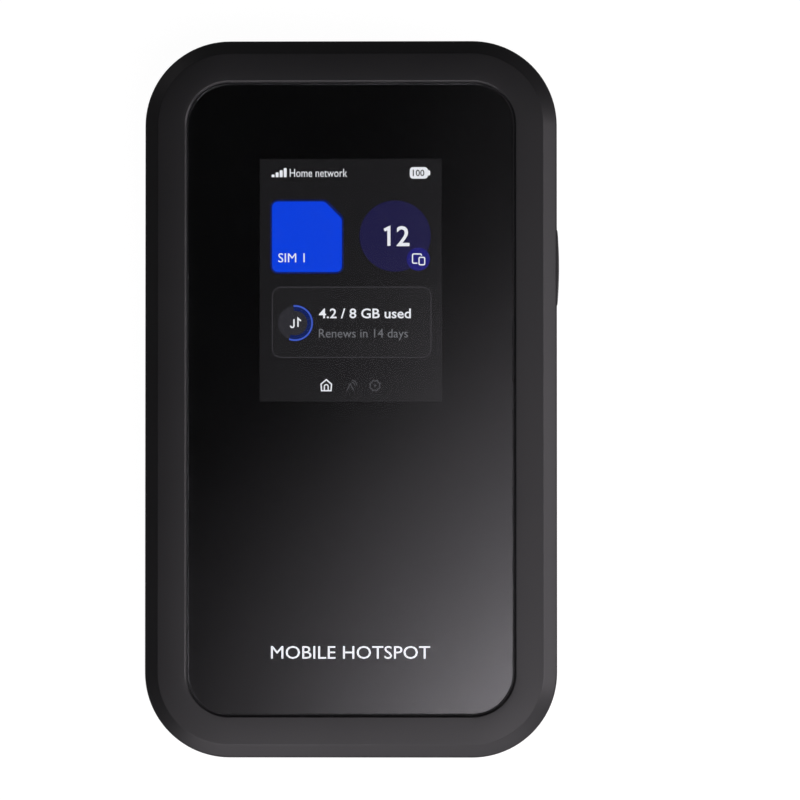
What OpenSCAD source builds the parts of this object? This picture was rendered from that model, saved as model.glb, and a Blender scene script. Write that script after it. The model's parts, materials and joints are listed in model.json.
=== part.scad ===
// Pocket mobile hotspot: a flat battery-powered radio with a small display.
// It lies on its rear cover. +Z leaves the display, +Y runs to the top of the
// display, and the origin is under the middle of the body, on the table.
// All sizes are millimetres. "d" is always a distance inwards from the outline.

/* [Body] */
// Width of the body
body_w = 69.5; // [66:0.5:76]
// Length of the body
body_l = 120.9; // [118:0.1:130]
// Height from the table to the top of the front bezel
body_t = 17.6; // [17.2:0.1:19]
// Corner radius of the outline
corner_r = 14.3; // [12:0.1:16]
// Wall thickness of the front housing
wall = 1.5; // [1.3:0.1:1.7]
// Width of the sloping edge round the front, seen from above
chamfer_w = 2.25; // [1.6:0.05:2.6]

/* [Front] */
// Width of the bezel from the outline to the lens recess
bezel_w = 6.9; // [6.5:0.1:8]
// Depth of the lens below the bezel
lens_sink = 0.35; // [0.2:0.05:0.5]
// Thickness of the lens
lens_t = 0.8; // [0.6:0.1:1]
// Width of the display's active area
screen_w = 30.6; // [28:0.1:32]
// Length of the display's active area
screen_l = 40.8; // [38:0.1:42]
// Distance from the middle of the body to the middle of the display
screen_y = 20; // [15:0.1:22]

/* [Power button] */
// Length of the button's face
button_l = 13; // [9:0.5:15]
// Height of the button's face
button_h = 3.4; // [2.6:0.1:3.8]
// How far the button stands out of the side
button_proud = 0.4; // [0.2:0.05:0.5]
// Distance of the button from the middle of the body
button_y = 22.3; // [18:0.1:26]

/* [Battery] */
// Width of the battery pack
battery_w = 54; // [50:0.5:54]
// Length of the battery pack
battery_l = 74; // [66:0.5:74]
// Thickness of the battery pack
battery_t = 6.8; // [6:0.1:6.8]
// Distance of the battery's middle from the middle of the body
battery_y = 4; // [2:0.5:4]

/* [Rear] */
// Height of the seam between the housing and the rear cover
seam_z = 3.4; // [3.2:0.1:3.6]
// How far the feet stand below the rear cover
foot_proud = 0.5; // [0.4:0.1:0.8]
// Radius of a foot
foot_r = 3.5; // [2.5:0.1:4]

/* [Hidden] */
$fn = 64;
eps = 0.01;

// Outline
corner_x = body_w / 2 - corner_r;
corner_y = body_l / 2 - corner_r;
side_x = body_w / 2;
end_y = body_l / 2;

// Front edge: side wall, rounded shoulder, slope, crowned bezel, recess
shoulder_r = 1;
shoulder_in = shoulder_r * (1 - cos(45));
bezel_crown = 0.25;
slope_top_z = body_t - bezel_crown;
slope_low_z = slope_top_z - (chamfer_w - shoulder_in);
lip_w = 0.25;
lens_gap = 0.25;
lens_top_z = body_t - lens_sink;
lens_low_z = lens_top_z - lens_t;
adhesive_t = 0.1;
shelf_top_z = lens_low_z - adhesive_t;
shelf_low_z = shelf_top_z - 1.15;
recess_d = bezel_w + lip_w;
lens_d = recess_d + lens_gap;

// Rear cover
cover_low_z = foot_proud;
cover_floor_z = cover_low_z + 1.2;
seam_gap = 0.15;
cover_wall = 1.4;
cover_slope = 1.8;
tab_d = wall + 0.25;
tab_t = 0.9;
tab_l = 5;
tab_top_z = seam_z + 1.6;

// Stack inside, from the rear to the front
battery_low_z = cover_floor_z + 0.3;
battery_top_z = battery_low_z + battery_t;
bay_gap = 0.3;
bay_wall = 1.2;
bay_floor_z = battery_top_z + 0.4;
bay_top_z = bay_floor_z + 1;
deck_low_z = cover_floor_z + 0.7;
flange_low_z = seam_z + 0.2;
flange_top_z = flange_low_z + 1.2;
deck_d = 3.4;
flange_d = wall + 0.2;
board_low_z = bay_top_z + 0.5;
board_t = 0.8;
board_top_z = board_low_z + board_t;
board_d = 3.6;
shield_t = 1.6;
shield_top_z = board_top_z + shield_t;
bay_w = battery_w + 2 * bay_gap;
bay_l = battery_l + 2 * bay_gap;

// Screws
boss_r = 2.4;
boss_bore_r = 0.9;
screw_r = 0.85;
head_r = 1.6;
head_t = 0.8;
head_pocket_r = 2;
boss_d = 6;
boss_arm = (corner_r - boss_d) / sqrt(2);
side_boss_x = side_x - 3.8;
side_boss_r = 2.1;
chassis_corners = [for (x = [-1, 1], y = [-1, 1])
    [x * (corner_x + boss_arm), y * (corner_y + boss_arm)]];
chassis_sides = [for (x = [-1, 1]) [x * side_boss_x, -6]];
chassis_points = concat(chassis_corners, chassis_sides);
board_points = [for (x = [-1, 1], y = [-44, 47.5]) [x * 22.5, y]];
board_boss_r = 1.9;

// Each shielded group: place, chip side, chip height, can width, can length
modem = [[-14, 31], 15, 1, 22, 26];
processor = [[13, 30], 12, 0.9, 20, 24];
power = [[-12, -24], 7, 0.8, 20, 22];
wlan = [[14, -26], 9, 0.9, 18, 20];
can_wall = 0.25;
can_corner_r = 0.6;
pad_side = 14;
socket_chip = [2, 3.2, 1.1];
socket_chip_xs = [-6, -2, 2, 6];
socket_chip_y = -48;
filter_chip = [1.2, 2, 0.6];
filter_chip_xs = [for (k = [-3:3]) 2.4 * k];
filter_chip_y = 50;
spreader = [48, 26];
spreader_t = 0.5;
spreader_y = -27;

// Display
module_w = 34;
module_top_y = screen_y + screen_l / 2 + 2;
module_low_y = screen_y - screen_l / 2 - 4.8;
module_l = module_top_y - module_low_y;
module_y = (module_top_y + module_low_y) / 2;
glass_top_z = shelf_top_z - 0.05;
glass_t = 0.5;
backlight_t = 1.4;
ledge_z = glass_top_z - glass_t;
backlight_low_z = ledge_z - glass_t - backlight_t;
bracket_t = 0.4;
bracket_w = 40;
bracket_window = [9, 18];
bracket_window_x = 8;
flex_t = 0.15;
flex_w = 12;
flex_bend = 0.6;
connector_t = 0.9;

// USB-C socket, under the board at the bottom end
usb_w = 8.94;
usb_h = 3.26;
usb_wall = 0.3;
usb_depth = 7.4;
usb_z = board_low_z - usb_h / 2;
usb_mouth_y = -end_y + 1;
usb_hole_w = 9.5;
usb_hole_h = 3.8;
tongue_w = 6.7;
tongue_t = 0.7;
usb_pin = [0.24, 4, 0.05];
usb_pin_pitch = 0.5;

// Nano SIM under the battery, sliding towards the top end
sim_w = 8.8;
sim_l = 12.3;
sim_t = 0.67;
sim_x = -10;
sim_y = -20;
sim_low_z = bay_floor_z + 0.42;
sim_cut = 1.65;
socket_w = 10.8;
socket_l = 10.8;
socket_low_y = sim_y - sim_l / 2 - 0.5;
socket_low_z = sim_low_z - 0.27;
sim_row_pitch = 2.54;
sim_column_x = 2.4;
sim_first_row = -3.6;
sim_pad = [3, 2];
sim_pad_t = 0.03;
sim_finger = [1.6, 0.8];
window_w = 14.4;
window_low_y = socket_low_y - 0.6;
window_top_y = sim_y + sim_l / 2 + 13.4;

// Power button and its switch
button_z = board_low_z - 0.1;
button_travel_gap = 0.1;
flange_t = 0.6;
flange_over = 1;
switch_w = 6.2;
switch_h = 2.9;
switch_in_x = bay_w / 2 + bay_wall + 0.2;
switch_out_x = side_x - wall - 1.5;
plunger_r = 0.65;

// Shapes -----------------------------------------------------------------

// Rounded rectangle with true arcs at its corners
module rounded(w, l, r) {
    square([w - 2 * r, l], center = true);
    square([w, l - 2 * r], center = true);
    for (x = [-1, 1], y = [-1, 1])
        translate([x * (w / 2 - r), y * (l / 2 - r)]) circle(r = r);
}

// The body's outline, d inside its edge
module outline(d) {
    rounded(body_w - 2 * d, body_l - 2 * d, corner_r - d);
}

// A plate of the body's outline, d inside its edge
module plate(d, low, top) {
    translate([0, 0, low]) linear_extrude(top - low) outline(d);
}

// A profile of [d, z] points carried round the body's outline
module rim(profile) {
    for (x = [0, 1], y = [0, 1])
        mirror([x, 0, 0]) mirror([0, y, 0])
            translate([corner_x, corner_y, 0])
                rotate_extrude(angle = 90)
                    polygon([for (p = profile) [corner_r - p[0], p[1]]]);
    for (x = [0, 1])
        mirror([x, 0, 0]) rotate([90, 0, 0])
            linear_extrude(2 * corner_y, center = true)
                polygon([for (p = profile) [side_x - p[0], p[1]]]);
    for (y = [0, 1])
        mirror([0, y, 0]) rotate([90, 0, 90])
            linear_extrude(2 * corner_x, center = true)
                polygon([for (p = profile) [end_y - p[0], p[1]]]);
}

// A box given by its lowest and highest corner
module block(low, top) {
    translate(low) cube(top - low);
}

// A box centred in X and Y at a place, from one height to another
module slab(at, w, l, low, top) {
    translate([at[0], at[1], low]) linear_extrude(top - low)
        square([w, l], center = true);
}

// A slab with rounded corners
module soft_slab(at, w, l, r, low, top) {
    translate([at[0], at[1], low]) linear_extrude(top - low)
        rounded(w, l, r);
}

// A vertical cylinder from one height to another
module post(at, r, low, top) {
    translate([at[0], at[1], low]) cylinder(r = r, h = top - low);
}

// A flat-ended slot shape with round ends, along Y
module stadium_y(w, h, low_y, top_y, z) {
    translate([0, top_y, z]) rotate([90, 0, 0])
        linear_extrude(top_y - low_y) {
            square([w - h, h], center = true);
            for (x = [-1, 1]) translate([x * (w - h) / 2, 0])
                circle(d = h);
        }
}

// The same shape along X
module stadium_x(w, h, low_x, top_x, y, z) {
    translate([low_x, y, z]) rotate([90, 0, 90])
        linear_extrude(top_x - low_x) {
            square([w - h, h], center = true);
            for (x = [-1, 1]) translate([x * (w - h) / 2, 0])
                circle(d = h);
        }
}

// A pan-head screw that points up from under its head
module screw(at, under_head_z, length) {
    post(at, head_r, under_head_z - head_t, under_head_z);
    post(at, screw_r, under_head_z - eps, under_head_z + length);
}

// A pressed metal can over a shielded group, open towards the board
module shield_can(group) {
    w = group[3];
    l = group[4];
    difference() {
        soft_slab(group[0], w, l, can_corner_r, board_top_z, shield_top_z);
        slab(group[0], w - 2 * can_wall, l - 2 * can_wall,
             board_top_z - 1, shield_top_z - can_wall);
    }
}

// Housing and lens -------------------------------------------------------

function shoulder() = [for (a = [0:15:45])
    [shoulder_r * (1 - cos(a)),
     slope_low_z - shoulder_r * (sin(45) - sin(a))]];

function crown(steps = 4) = [for (i = [0:steps])
    let (t = i / steps)
    [chamfer_w + t * (bezel_w - chamfer_w),
     body_t - bezel_crown * pow(1 - t, 2)]];

function housing_profile() = concat(
    [[wall, seam_z + seam_gap], [0.2, seam_z + seam_gap],
     [0, seam_z + seam_gap + 0.2]],
    shoulder(),
    crown(),
    [[recess_d, lens_top_z], [recess_d, shelf_low_z],
     [wall, shelf_low_z]]);

module front_housing() {
    color([0.07, 0.07, 0.075])
    difference() {
        union() {
            rim(housing_profile());
            plate(bezel_w - 0.4, shelf_low_z, shelf_top_z);
            for (p = chassis_corners)
                post(p, boss_r, flange_top_z, shelf_low_z + 0.5);
            for (p = chassis_sides)
                post(p, side_boss_r, flange_top_z, shelf_low_z + 0.5);
            for (p = board_points)
                post(p, board_boss_r, board_top_z, shelf_low_z + 0.5);
        }
        block([-module_w / 2 - 0.4, module_low_y - 1.5, shelf_low_z - 1],
              [module_w / 2 + 0.4, module_top_y + 0.4, shelf_top_z + 0.5]);
        for (p = chassis_points)
            post(p, boss_bore_r, flange_top_z - 1, flange_top_z + 6);
        for (p = board_points)
            post(p, boss_bore_r, board_top_z - 1, board_top_z + 3.2);
        stadium_y(usb_hole_w, usb_hole_h, -end_y - 1, -end_y + wall + 1, usb_z);
        stadium_x(button_l + 0.3, button_h + 0.3, side_x - wall - 1,
                  side_x + 1, button_y, button_z);
    }
}

module front_lens() {
    color([0.02, 0.02, 0.025])
    plate(lens_d, lens_low_z, lens_top_z);
}

module lens_mask() {
    color("black")
    difference() {
        plate(lens_d + 0.2, lens_low_z - 0.04, lens_low_z);
        slab([0, screen_y], screen_w + 0.2, screen_l + 0.2,
             lens_low_z - 1, lens_low_z + 1);
    }
}

module lens_adhesive() {
    color([0.2, 0.2, 0.2])
    difference() {
        plate(lens_d + 0.2, shelf_top_z, lens_low_z - 0.04);
        slab([0, module_y], module_w + 1.2, module_l + 1.2,
             shelf_top_z - 1, lens_low_z);
    }
}

// Display ----------------------------------------------------------------

module lcd_panel() {
    color([0.12, 0.12, 0.14]) {
        slab([0, module_y], module_w - 0.4, module_l - 0.4,
             ledge_z - glass_t, ledge_z);
        slab([0, module_y + 1.6], module_w - 0.4, module_l - 3.6,
             ledge_z, glass_top_z);
    }
}

module lcd_backlight() {
    color([0.85, 0.86, 0.88])
    slab([0, module_y], module_w, module_l,
         backlight_low_z, ledge_z - glass_t);
}

module lcd_bracket() {
    color("silver")
    difference() {
        slab([0, module_y + 1], bracket_w, module_l + 1,
             backlight_low_z - bracket_t, backlight_low_z);
        for (x = [-1, 1])
            slab([x * bracket_window_x, module_y], bracket_window[0],
                 bracket_window[1], backlight_low_z - 1, backlight_low_z + 1);
    }
}

// A ribbon from the glass ledge, round the module's end and down to the board
module lcd_flex() {
    fold_y = module_low_y - 1;
    top_z = ledge_z + flex_t;
    low_z = board_top_z + connector_t;
    color([0.75, 0.45, 0.12])
    translate([-flex_w / 2, 0, 0]) rotate([90, 0, 90])
    linear_extrude(flex_w) {
        translate([fold_y + flex_bend, ledge_z])
            square([module_low_y + 2.2 - fold_y - flex_bend, flex_t]);
        translate([fold_y, low_z + flex_bend])
            square([flex_t, top_z - low_z - 2 * flex_bend]);
        translate([fold_y + flex_bend, low_z])
            square([module_low_y + 3 - fold_y - flex_bend, flex_t]);
        translate([fold_y + flex_bend, top_z - flex_bend]) flex_corner(0);
        translate([fold_y + flex_bend, low_z + flex_bend]) flex_corner(1);
    }
}

// A quarter turn of the ribbon: upper one 0, lower one 1
module flex_corner(lower) {
    intersection() {
        difference() {
            circle(r = flex_bend);
            circle(r = flex_bend - flex_t);
        }
        translate([-2 * flex_bend, lower ? -2 * flex_bend : 0])
            square(2 * flex_bend);
    }
}

module lcd_connector() {
    color([0.15, 0.15, 0.15])
    slab([0, module_low_y + 2], flex_w + 1.6, 2.6,
         board_top_z, board_top_z + connector_t);
}

// Board ------------------------------------------------------------------

module main_board() {
    color([0.03, 0.22, 0.12])
    difference() {
        plate(board_d, board_low_z, board_top_z);
        for (p = chassis_corners)
            post(p, boss_r + 0.5, board_low_z - 1, board_top_z + 1);
        for (p = chassis_sides)
            post(p, side_boss_r + 0.5, board_low_z - 1, board_top_z + 1);
        for (p = board_points)
            post(p, screw_r + 0.15, board_low_z - 1, board_top_z + 1);
        block([switch_in_x - 0.2, button_y - switch_w / 2 - 0.3,
               board_low_z - 1],
              [side_x, button_y + switch_w / 2 + 0.3, board_top_z + 1]);
    }
}

module board_chips() {
    color([0.1, 0.1, 0.11]) {
        for (g = [modem, processor, power, wlan])
            slab(g[0], g[1], g[1], board_top_z, board_top_z + g[2]);
        for (x = socket_chip_xs)
            slab([x, socket_chip_y], socket_chip[0], socket_chip[1],
                 board_top_z, board_top_z + socket_chip[2]);
        for (x = filter_chip_xs)
            slab([x, filter_chip_y], filter_chip[0], filter_chip[1],
                 board_top_z, board_top_z + filter_chip[2]);
    }
}

module modem_shield() { color("silver") shield_can(modem); }
module processor_shield() { color("silver") shield_can(processor); }
module power_shield() { color("silver") shield_can(power); }
module wlan_shield() { color("silver") shield_can(wlan); }

module thermal_pad() {
    color([0.55, 0.6, 0.75])
    for (g = [modem, processor])
        slab(g[0], pad_side, pad_side, shield_top_z, backlight_low_z - bracket_t);
}

module heat_spreader() {
    color([0.72, 0.45, 0.3])
    soft_slab([0, spreader_y], spreader[0], spreader[1], 2,
              shelf_low_z - spreader_t, shelf_low_z);
}

module board_screws() {
    color("silver")
    for (p = board_points)
        screw(p, board_low_z, 2.6);
}

// USB-C socket -----------------------------------------------------------

module usb_shell() {
    color([0.78, 0.78, 0.8])
    difference() {
        stadium_y(usb_w, usb_h, usb_mouth_y, usb_mouth_y + usb_depth, usb_z);
        stadium_y(usb_w - 2 * usb_wall, usb_h - 2 * usb_wall,
                  usb_mouth_y - 1, usb_mouth_y + usb_depth - 0.3, usb_z);
    }
}

module usb_tongue() {
    color([0.1, 0.1, 0.1]) {
        block([-tongue_w / 2, usb_mouth_y + 0.9, usb_z - tongue_t / 2],
              [tongue_w / 2, usb_mouth_y + usb_depth - 1.2,
               usb_z + tongue_t / 2]);
        stadium_y(usb_w - 2 * usb_wall - 0.02, usb_h - 2 * usb_wall - 0.02,
                  usb_mouth_y + usb_depth - 1.2 - eps,
                  usb_mouth_y + usb_depth - 0.3, usb_z);
    }
}

module usb_pins() {
    color([0.85, 0.65, 0.3])
    for (i = [-5.5:1:5.5], side = [-1, 1])
        translate([i * usb_pin_pitch, usb_mouth_y + 3.3,
                   usb_z + side * (tongue_t + usb_pin[2]) / 2])
            cube(usb_pin, center = true);
}

// SIM --------------------------------------------------------------------

module sim_socket() {
    color("silver")
    difference() {
        block([sim_x - socket_w / 2, socket_low_y, socket_low_z],
              [sim_x + socket_w / 2, socket_low_y + socket_l, board_low_z]);
        block([sim_x - sim_w / 2 - 0.2, socket_low_y + 0.4,
               sim_low_z - 0.1],
              [sim_x + sim_w / 2 + 0.2, socket_low_y + socket_l + 1,
               sim_low_z + sim_t + 0.16]);
    }
}

// Place of a contact: column -1 or 1, row 0 to 2
function sim_pad_at(column, row) =
    [sim_x + column * sim_column_x,
     sim_y + sim_first_row + row * sim_row_pitch];

module sim_contacts() {
    color([0.85, 0.65, 0.3])
    for (x = [-1, 1], y = [0:2])
        slab(sim_pad_at(x, y), sim_finger[0], sim_finger[1],
             sim_low_z + sim_t + 0.04, sim_low_z + sim_t + 0.16);
}

module nano_sim() {
    color([0.93, 0.93, 0.95])
    translate([sim_x, sim_y, sim_low_z]) linear_extrude(sim_t - sim_pad_t)
        polygon([[-sim_w / 2, -sim_l / 2], [sim_w / 2, -sim_l / 2],
                 [sim_w / 2, sim_l / 2], [-sim_w / 2 + sim_cut, sim_l / 2],
                 [-sim_w / 2, sim_l / 2 - sim_cut]]);
}

module sim_pads() {
    color([0.85, 0.65, 0.3])
    for (x = [-1, 1], y = [0:2])
        slab(sim_pad_at(x, y), sim_pad[0], sim_pad[1],
             sim_low_z + sim_t - sim_pad_t, sim_low_z + sim_t);
}

// Battery contacts on the board ------------------------------------------

connector_low_y = battery_y + bay_l / 2 + 0.2;
blade_xs = [-4.5, -1.5, 1.5, 4.5];

module battery_connector() {
    color([0.1, 0.1, 0.1])
    difference() {
        block([-7, connector_low_y, battery_low_z + 3.6],
              [7, connector_low_y + 3, board_low_z]);
        for (x = blade_xs)
            block([x - 0.6, connector_low_y - 1, battery_low_z + 4.2],
                  [x + 0.6, connector_low_y + 1.6, board_low_z - 1.4]);
    }
}

module battery_blades() {
    color([0.85, 0.65, 0.3])
    for (x = blade_xs) {
        block([x - 0.4, connector_low_y - 0.42, battery_low_z + 4.5],
              [x + 0.4, connector_low_y, board_low_z - 2.2]);
        block([x - 0.4, connector_low_y - eps, board_low_z - 2.6],
              [x + 0.4, connector_low_y + 1.6, board_low_z - 2.2]);
    }
}

// Antennas ---------------------------------------------------------------

carrier_half_w = 21;
bottom_gap_x = 7;
top_film_xs = [-12, 0, 12];
top_film_w = 9;
bottom_film_xs = [-14, 14];
bottom_film_w = 12;
side_film_ys = [-30, -17];
side_film_l = 10;
film_t = 0.15;
film_edge = 0.3;
side_film_x = side_x - wall - 0.05;
spring_w = 1.2;
spring_t = 0.2;
spring_h = 1.4;
spring_x = side_x - 4;
carrier_low_z = flange_top_z + 0.3;
carrier_top_z = board_low_z;
carrier_out_y = end_y - wall - 0.5;
carrier_in_y = carrier_out_y - 7.5;

// A hollow plastic block that opens towards the board
module carrier(low_x, top_x, low_y, top_y) {
    difference() {
        block([low_x, low_y, carrier_low_z], [top_x, top_y, carrier_top_z]);
        block([low_x + 1, low_y + 1, carrier_low_z + 1],
              [top_x - 1, top_y - 1, carrier_top_z + 1]);
    }
}

module antenna_carrier_top() {
    color([0.18, 0.18, 0.2])
    carrier(-carrier_half_w, carrier_half_w, carrier_in_y, carrier_out_y);
}

module antenna_carrier_left() {
    color([0.18, 0.18, 0.2])
    carrier(-carrier_half_w, -bottom_gap_x, -carrier_out_y, -carrier_in_y);
}

module antenna_carrier_right() {
    color([0.18, 0.18, 0.2])
    carrier(bottom_gap_x, carrier_half_w, -carrier_out_y, -carrier_in_y);
}

module antenna_flex_top() {
    color([0.78, 0.5, 0.25])
    for (x = top_film_xs)
        block([x - top_film_w / 2, carrier_out_y, carrier_low_z + film_edge],
              [x + top_film_w / 2, carrier_out_y + film_t,
               carrier_top_z - film_edge]);
}

module antenna_flex_bottom() {
    color([0.78, 0.5, 0.25])
    for (x = bottom_film_xs)
        block([x - bottom_film_w / 2, -carrier_out_y - film_t,
               carrier_low_z + film_edge],
              [x + bottom_film_w / 2, -carrier_out_y,
               carrier_top_z - film_edge]);
}

module antenna_flex_sides() {
    color([0.78, 0.5, 0.25])
    for (m = [0, 1]) mirror([m, 0, 0])
        for (y = side_film_ys)
            block([side_film_x - film_t, y - side_film_l / 2,
                   flange_top_z + 0.5],
                  [side_film_x, y + side_film_l / 2, shelf_low_z - 1.2]);
}

// Spring clips that carry the signal from the board to each antenna
module antenna_springs() {
    color([0.85, 0.65, 0.3])
    for (m = [0, 1]) mirror([m, 0, 0])
        for (y = side_film_ys) {
            block([spring_x - 1.4, y - spring_w / 2, board_top_z],
                  [spring_x + spring_t, y + spring_w / 2,
                   board_top_z + spring_t]);
            block([spring_x, y - spring_w / 2, board_top_z],
                  [spring_x + spring_t, y + spring_w / 2,
                   board_top_z + spring_h]);
            block([spring_x, y - spring_w / 2,
                   board_top_z + spring_h - spring_t],
                  [side_film_x - film_t - 0.05, y + spring_w / 2,
                   board_top_z + spring_h]);
        }
}

// Switch and button ------------------------------------------------------

module switch_body() {
    color([0.2, 0.2, 0.22])
    difference() {
        block([switch_in_x, button_y - switch_w / 2, button_z - switch_h / 2],
              [switch_out_x, button_y + switch_w / 2, button_z + switch_h / 2]);
        translate([switch_out_x - 1.3, button_y, button_z])
            rotate([0, 90, 0]) cylinder(r = plunger_r + 0.1, h = 3);
    }
}

module switch_plunger() {
    color([0.85, 0.83, 0.78])
    translate([switch_out_x - 0.7, button_y, button_z])
        rotate([0, 90, 0])
            cylinder(r = plunger_r, h = 1.1);
}

module power_button() {
    flange_x = side_x - wall - button_travel_gap - flange_t;
    color([0.05, 0.05, 0.055]) {
        stadium_x(button_l, button_h, flange_x + flange_t - eps,
                  side_x + button_proud, button_y, button_z);
        stadium_x(button_l + 2 * flange_over, button_h + 1.2, flange_x,
                  flange_x + flange_t, button_y, button_z);
        translate([switch_out_x + 0.4, button_y, button_z])
            rotate([0, 90, 0])
                cylinder(r = 1, h = flange_x - switch_out_x - 0.4 + eps);
    }
}

// Chassis ----------------------------------------------------------------

tab_sides = [-38, -16, 6, 34];
tab_ends = [-14, 14];
finger_r = 7;

// Runs its children at each place where the rear cover has a tab
module at_tabs() {
    for (x = [0, 1], y = tab_sides)
        mirror([x, 0, 0]) translate([side_x, y, 0]) children();
    for (m = [0, 1], x = tab_ends)
        mirror([0, m, 0]) translate([x, end_y, 0]) rotate([0, 0, 90])
            children();
}

module inner_chassis() {
    color([0.1, 0.1, 0.11])
    difference() {
        union() {
            plate(flange_d, flange_low_z, flange_top_z);
            plate(deck_d, deck_low_z, flange_low_z + eps);
            soft_slab([0, battery_y], bay_w + 2 * bay_wall,
                      bay_l + 2 * bay_wall, 3, flange_low_z, bay_top_z);
        }
        soft_slab([0, battery_y], bay_w, bay_l, 2, deck_low_z - 1,
                  bay_floor_z);
        block([sim_x - window_w / 2, window_low_y, bay_floor_z - 1],
              [sim_x + window_w / 2, window_top_y, bay_top_z + 1]);
        block([-7.3, connector_low_y - 1.2, battery_low_z + 3.2],
              [7.3, connector_low_y + 3.3, bay_top_z + 1]);
        for (p = chassis_points) {
            post(p, screw_r + 0.15, deck_low_z - 1, flange_top_z + 1);
            post(p, head_pocket_r, deck_low_z - 1, flange_low_z);
        }
        at_tabs()
            block([-tab_d - tab_t - 0.3, -tab_l / 2 - 0.3, flange_low_z - 1],
                  [-wall + 0.1, tab_l / 2 + 0.3, flange_top_z + 1]);
        // finger notches beside the battery
        for (x = [-1, 1])
            translate([x * bay_w / 2, battery_y - bay_l / 2 + 2 * finger_r,
                       deck_low_z - 1])
                cylinder(r = finger_r, h = flange_top_z - deck_low_z - 0.2);
    }
}

module chassis_screws() {
    color("silver")
    for (p = chassis_points)
        screw(p, flange_low_z, 5.4);
}

label_at = [4, battery_y + 18];
label = [34, 22];

module bay_label() {
    color([0.9, 0.9, 0.88])
    slab(label_at, label[0], label[1], bay_floor_z - 0.1, bay_floor_z);
}

// Rear cover -------------------------------------------------------------

function cover_profile() = concat(
    [[cover_wall, seam_z], [0.2, seam_z], [0, seam_z - 0.2]],
    [for (a = [0:15:45])
        [shoulder_r * (1 - cos(a)),
         cover_low_z + cover_slope + shoulder_r * (sin(45) - sin(a)) * 0.6]],
    [[cover_slope + shoulder_in, cover_low_z],
     [cover_slope + 3, cover_low_z], [cover_slope + 3, cover_floor_z],
     [cover_wall + 0.9, cover_floor_z], [cover_wall, cover_floor_z + 0.9]]);

feet_points = [for (x = [-1, 1], y = [-1, 1]) [x * 22, y * 47.5]];
foot_pocket = 0.4;
notch_r = 8.7;
notch_y = -34;
foam = [40, 30];

module rear_cover() {
    color([0.08, 0.08, 0.085])
    difference() {
        union() {
            rim(cover_profile());
            plate(cover_slope + 2, cover_low_z, cover_floor_z);
            at_tabs()
                block([-tab_d - tab_t, -tab_l / 2, cover_floor_z - 0.3],
                      [-tab_d, tab_l / 2, tab_top_z]);
        }
        for (p = feet_points)
            post(p, foot_r + 0.1, cover_low_z - 1, cover_low_z + foot_pocket);
        // fingernail notch in the seam
        translate([-side_x - 8, notch_y, seam_z - 1])
            cylinder(r = notch_r, h = 2);
    }
}

module rear_feet() {
    color([0.12, 0.12, 0.12])
    for (p = feet_points) post(p, foot_r, 0, cover_low_z + foot_pocket);
}

module battery_pad() {
    color([0.25, 0.25, 0.27])
    slab([0, battery_y], foam[0], foam[1],
         cover_floor_z, battery_low_z - 0.05);
}

// Battery ----------------------------------------------------------------

frame_side = 1.4;
frame_end = 2.3;
label_t = 0.15;

module battery_frame() {
    color([0.09, 0.09, 0.1])
    difference() {
        soft_slab([0, battery_y], battery_w, battery_l, 1.7,
                  battery_low_z, battery_top_z);
        slab([0, battery_y], battery_w - 2 * frame_side,
             battery_l - 2 * frame_end, battery_low_z - 1,
             battery_top_z + 1);
        for (x = blade_xs)
            block([x - 0.8, battery_y + battery_l / 2 - 0.3,
                   battery_low_z + 4.2],
                  [x + 0.8, battery_y + battery_l / 2 + 1,
                   battery_top_z - 0.4]);
    }
}

module battery_cell() {
    color([0.75, 0.76, 0.78])
    slab([0, battery_y], battery_w - 2 * frame_side - 0.3,
         battery_l - 2 * frame_end - 0.3, battery_low_z + 0.25,
         battery_top_z - 0.25);
}

module battery_contacts() {
    color([0.85, 0.65, 0.3])
    for (x = blade_xs)
        block([x - 0.8, battery_y + battery_l / 2 - 0.3,
               battery_low_z + 4.2],
              [x + 0.8, battery_y + battery_l / 2 - 0.15,
               battery_top_z - 0.4]);
}

module battery_label() {
    color([0.16, 0.16, 0.17])
    for (z = [battery_low_z + 0.05, battery_top_z - 0.05 - label_t])
        slab([0, battery_y], battery_w - 2 * frame_side - 0.1,
             battery_l - 2 * frame_end - 0.1, z, z + label_t);
}

// ------------------------------------------------------------------------

front_housing();
front_lens();
lens_mask();
lens_adhesive();
lcd_panel();
lcd_backlight();
lcd_bracket();
lcd_flex();
lcd_connector();
main_board();
board_chips();
modem_shield();
processor_shield();
power_shield();
wlan_shield();
thermal_pad();
heat_spreader();
board_screws();
usb_shell();
usb_tongue();
usb_pins();
sim_socket();
sim_contacts();
battery_connector();
battery_blades();
switch_body();
antenna_carrier_top();
antenna_carrier_left();
antenna_carrier_right();
antenna_flex_top();
antenna_flex_bottom();
antenna_flex_sides();
antenna_springs();
inner_chassis();
chassis_screws();
bay_label();
rear_cover();
rear_feet();
battery_pad();
battery_frame();
battery_cell();
battery_contacts();
battery_label();
nano_sim();
sim_pads();
power_button();
switch_plunger();
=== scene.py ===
"""A pocket mobile hotspot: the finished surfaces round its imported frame.

The device lies on its rear cover. +Z leaves the display, +Y runs to the top of the display.
Lengths in this file are millimetres until a mesh is handed to Blender, which takes metres.
A depth is always a distance inwards from the body's outline.
"""
import json
import math
import random

import bmesh
import bpy
from mathutils import Matrix, Vector


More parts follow.
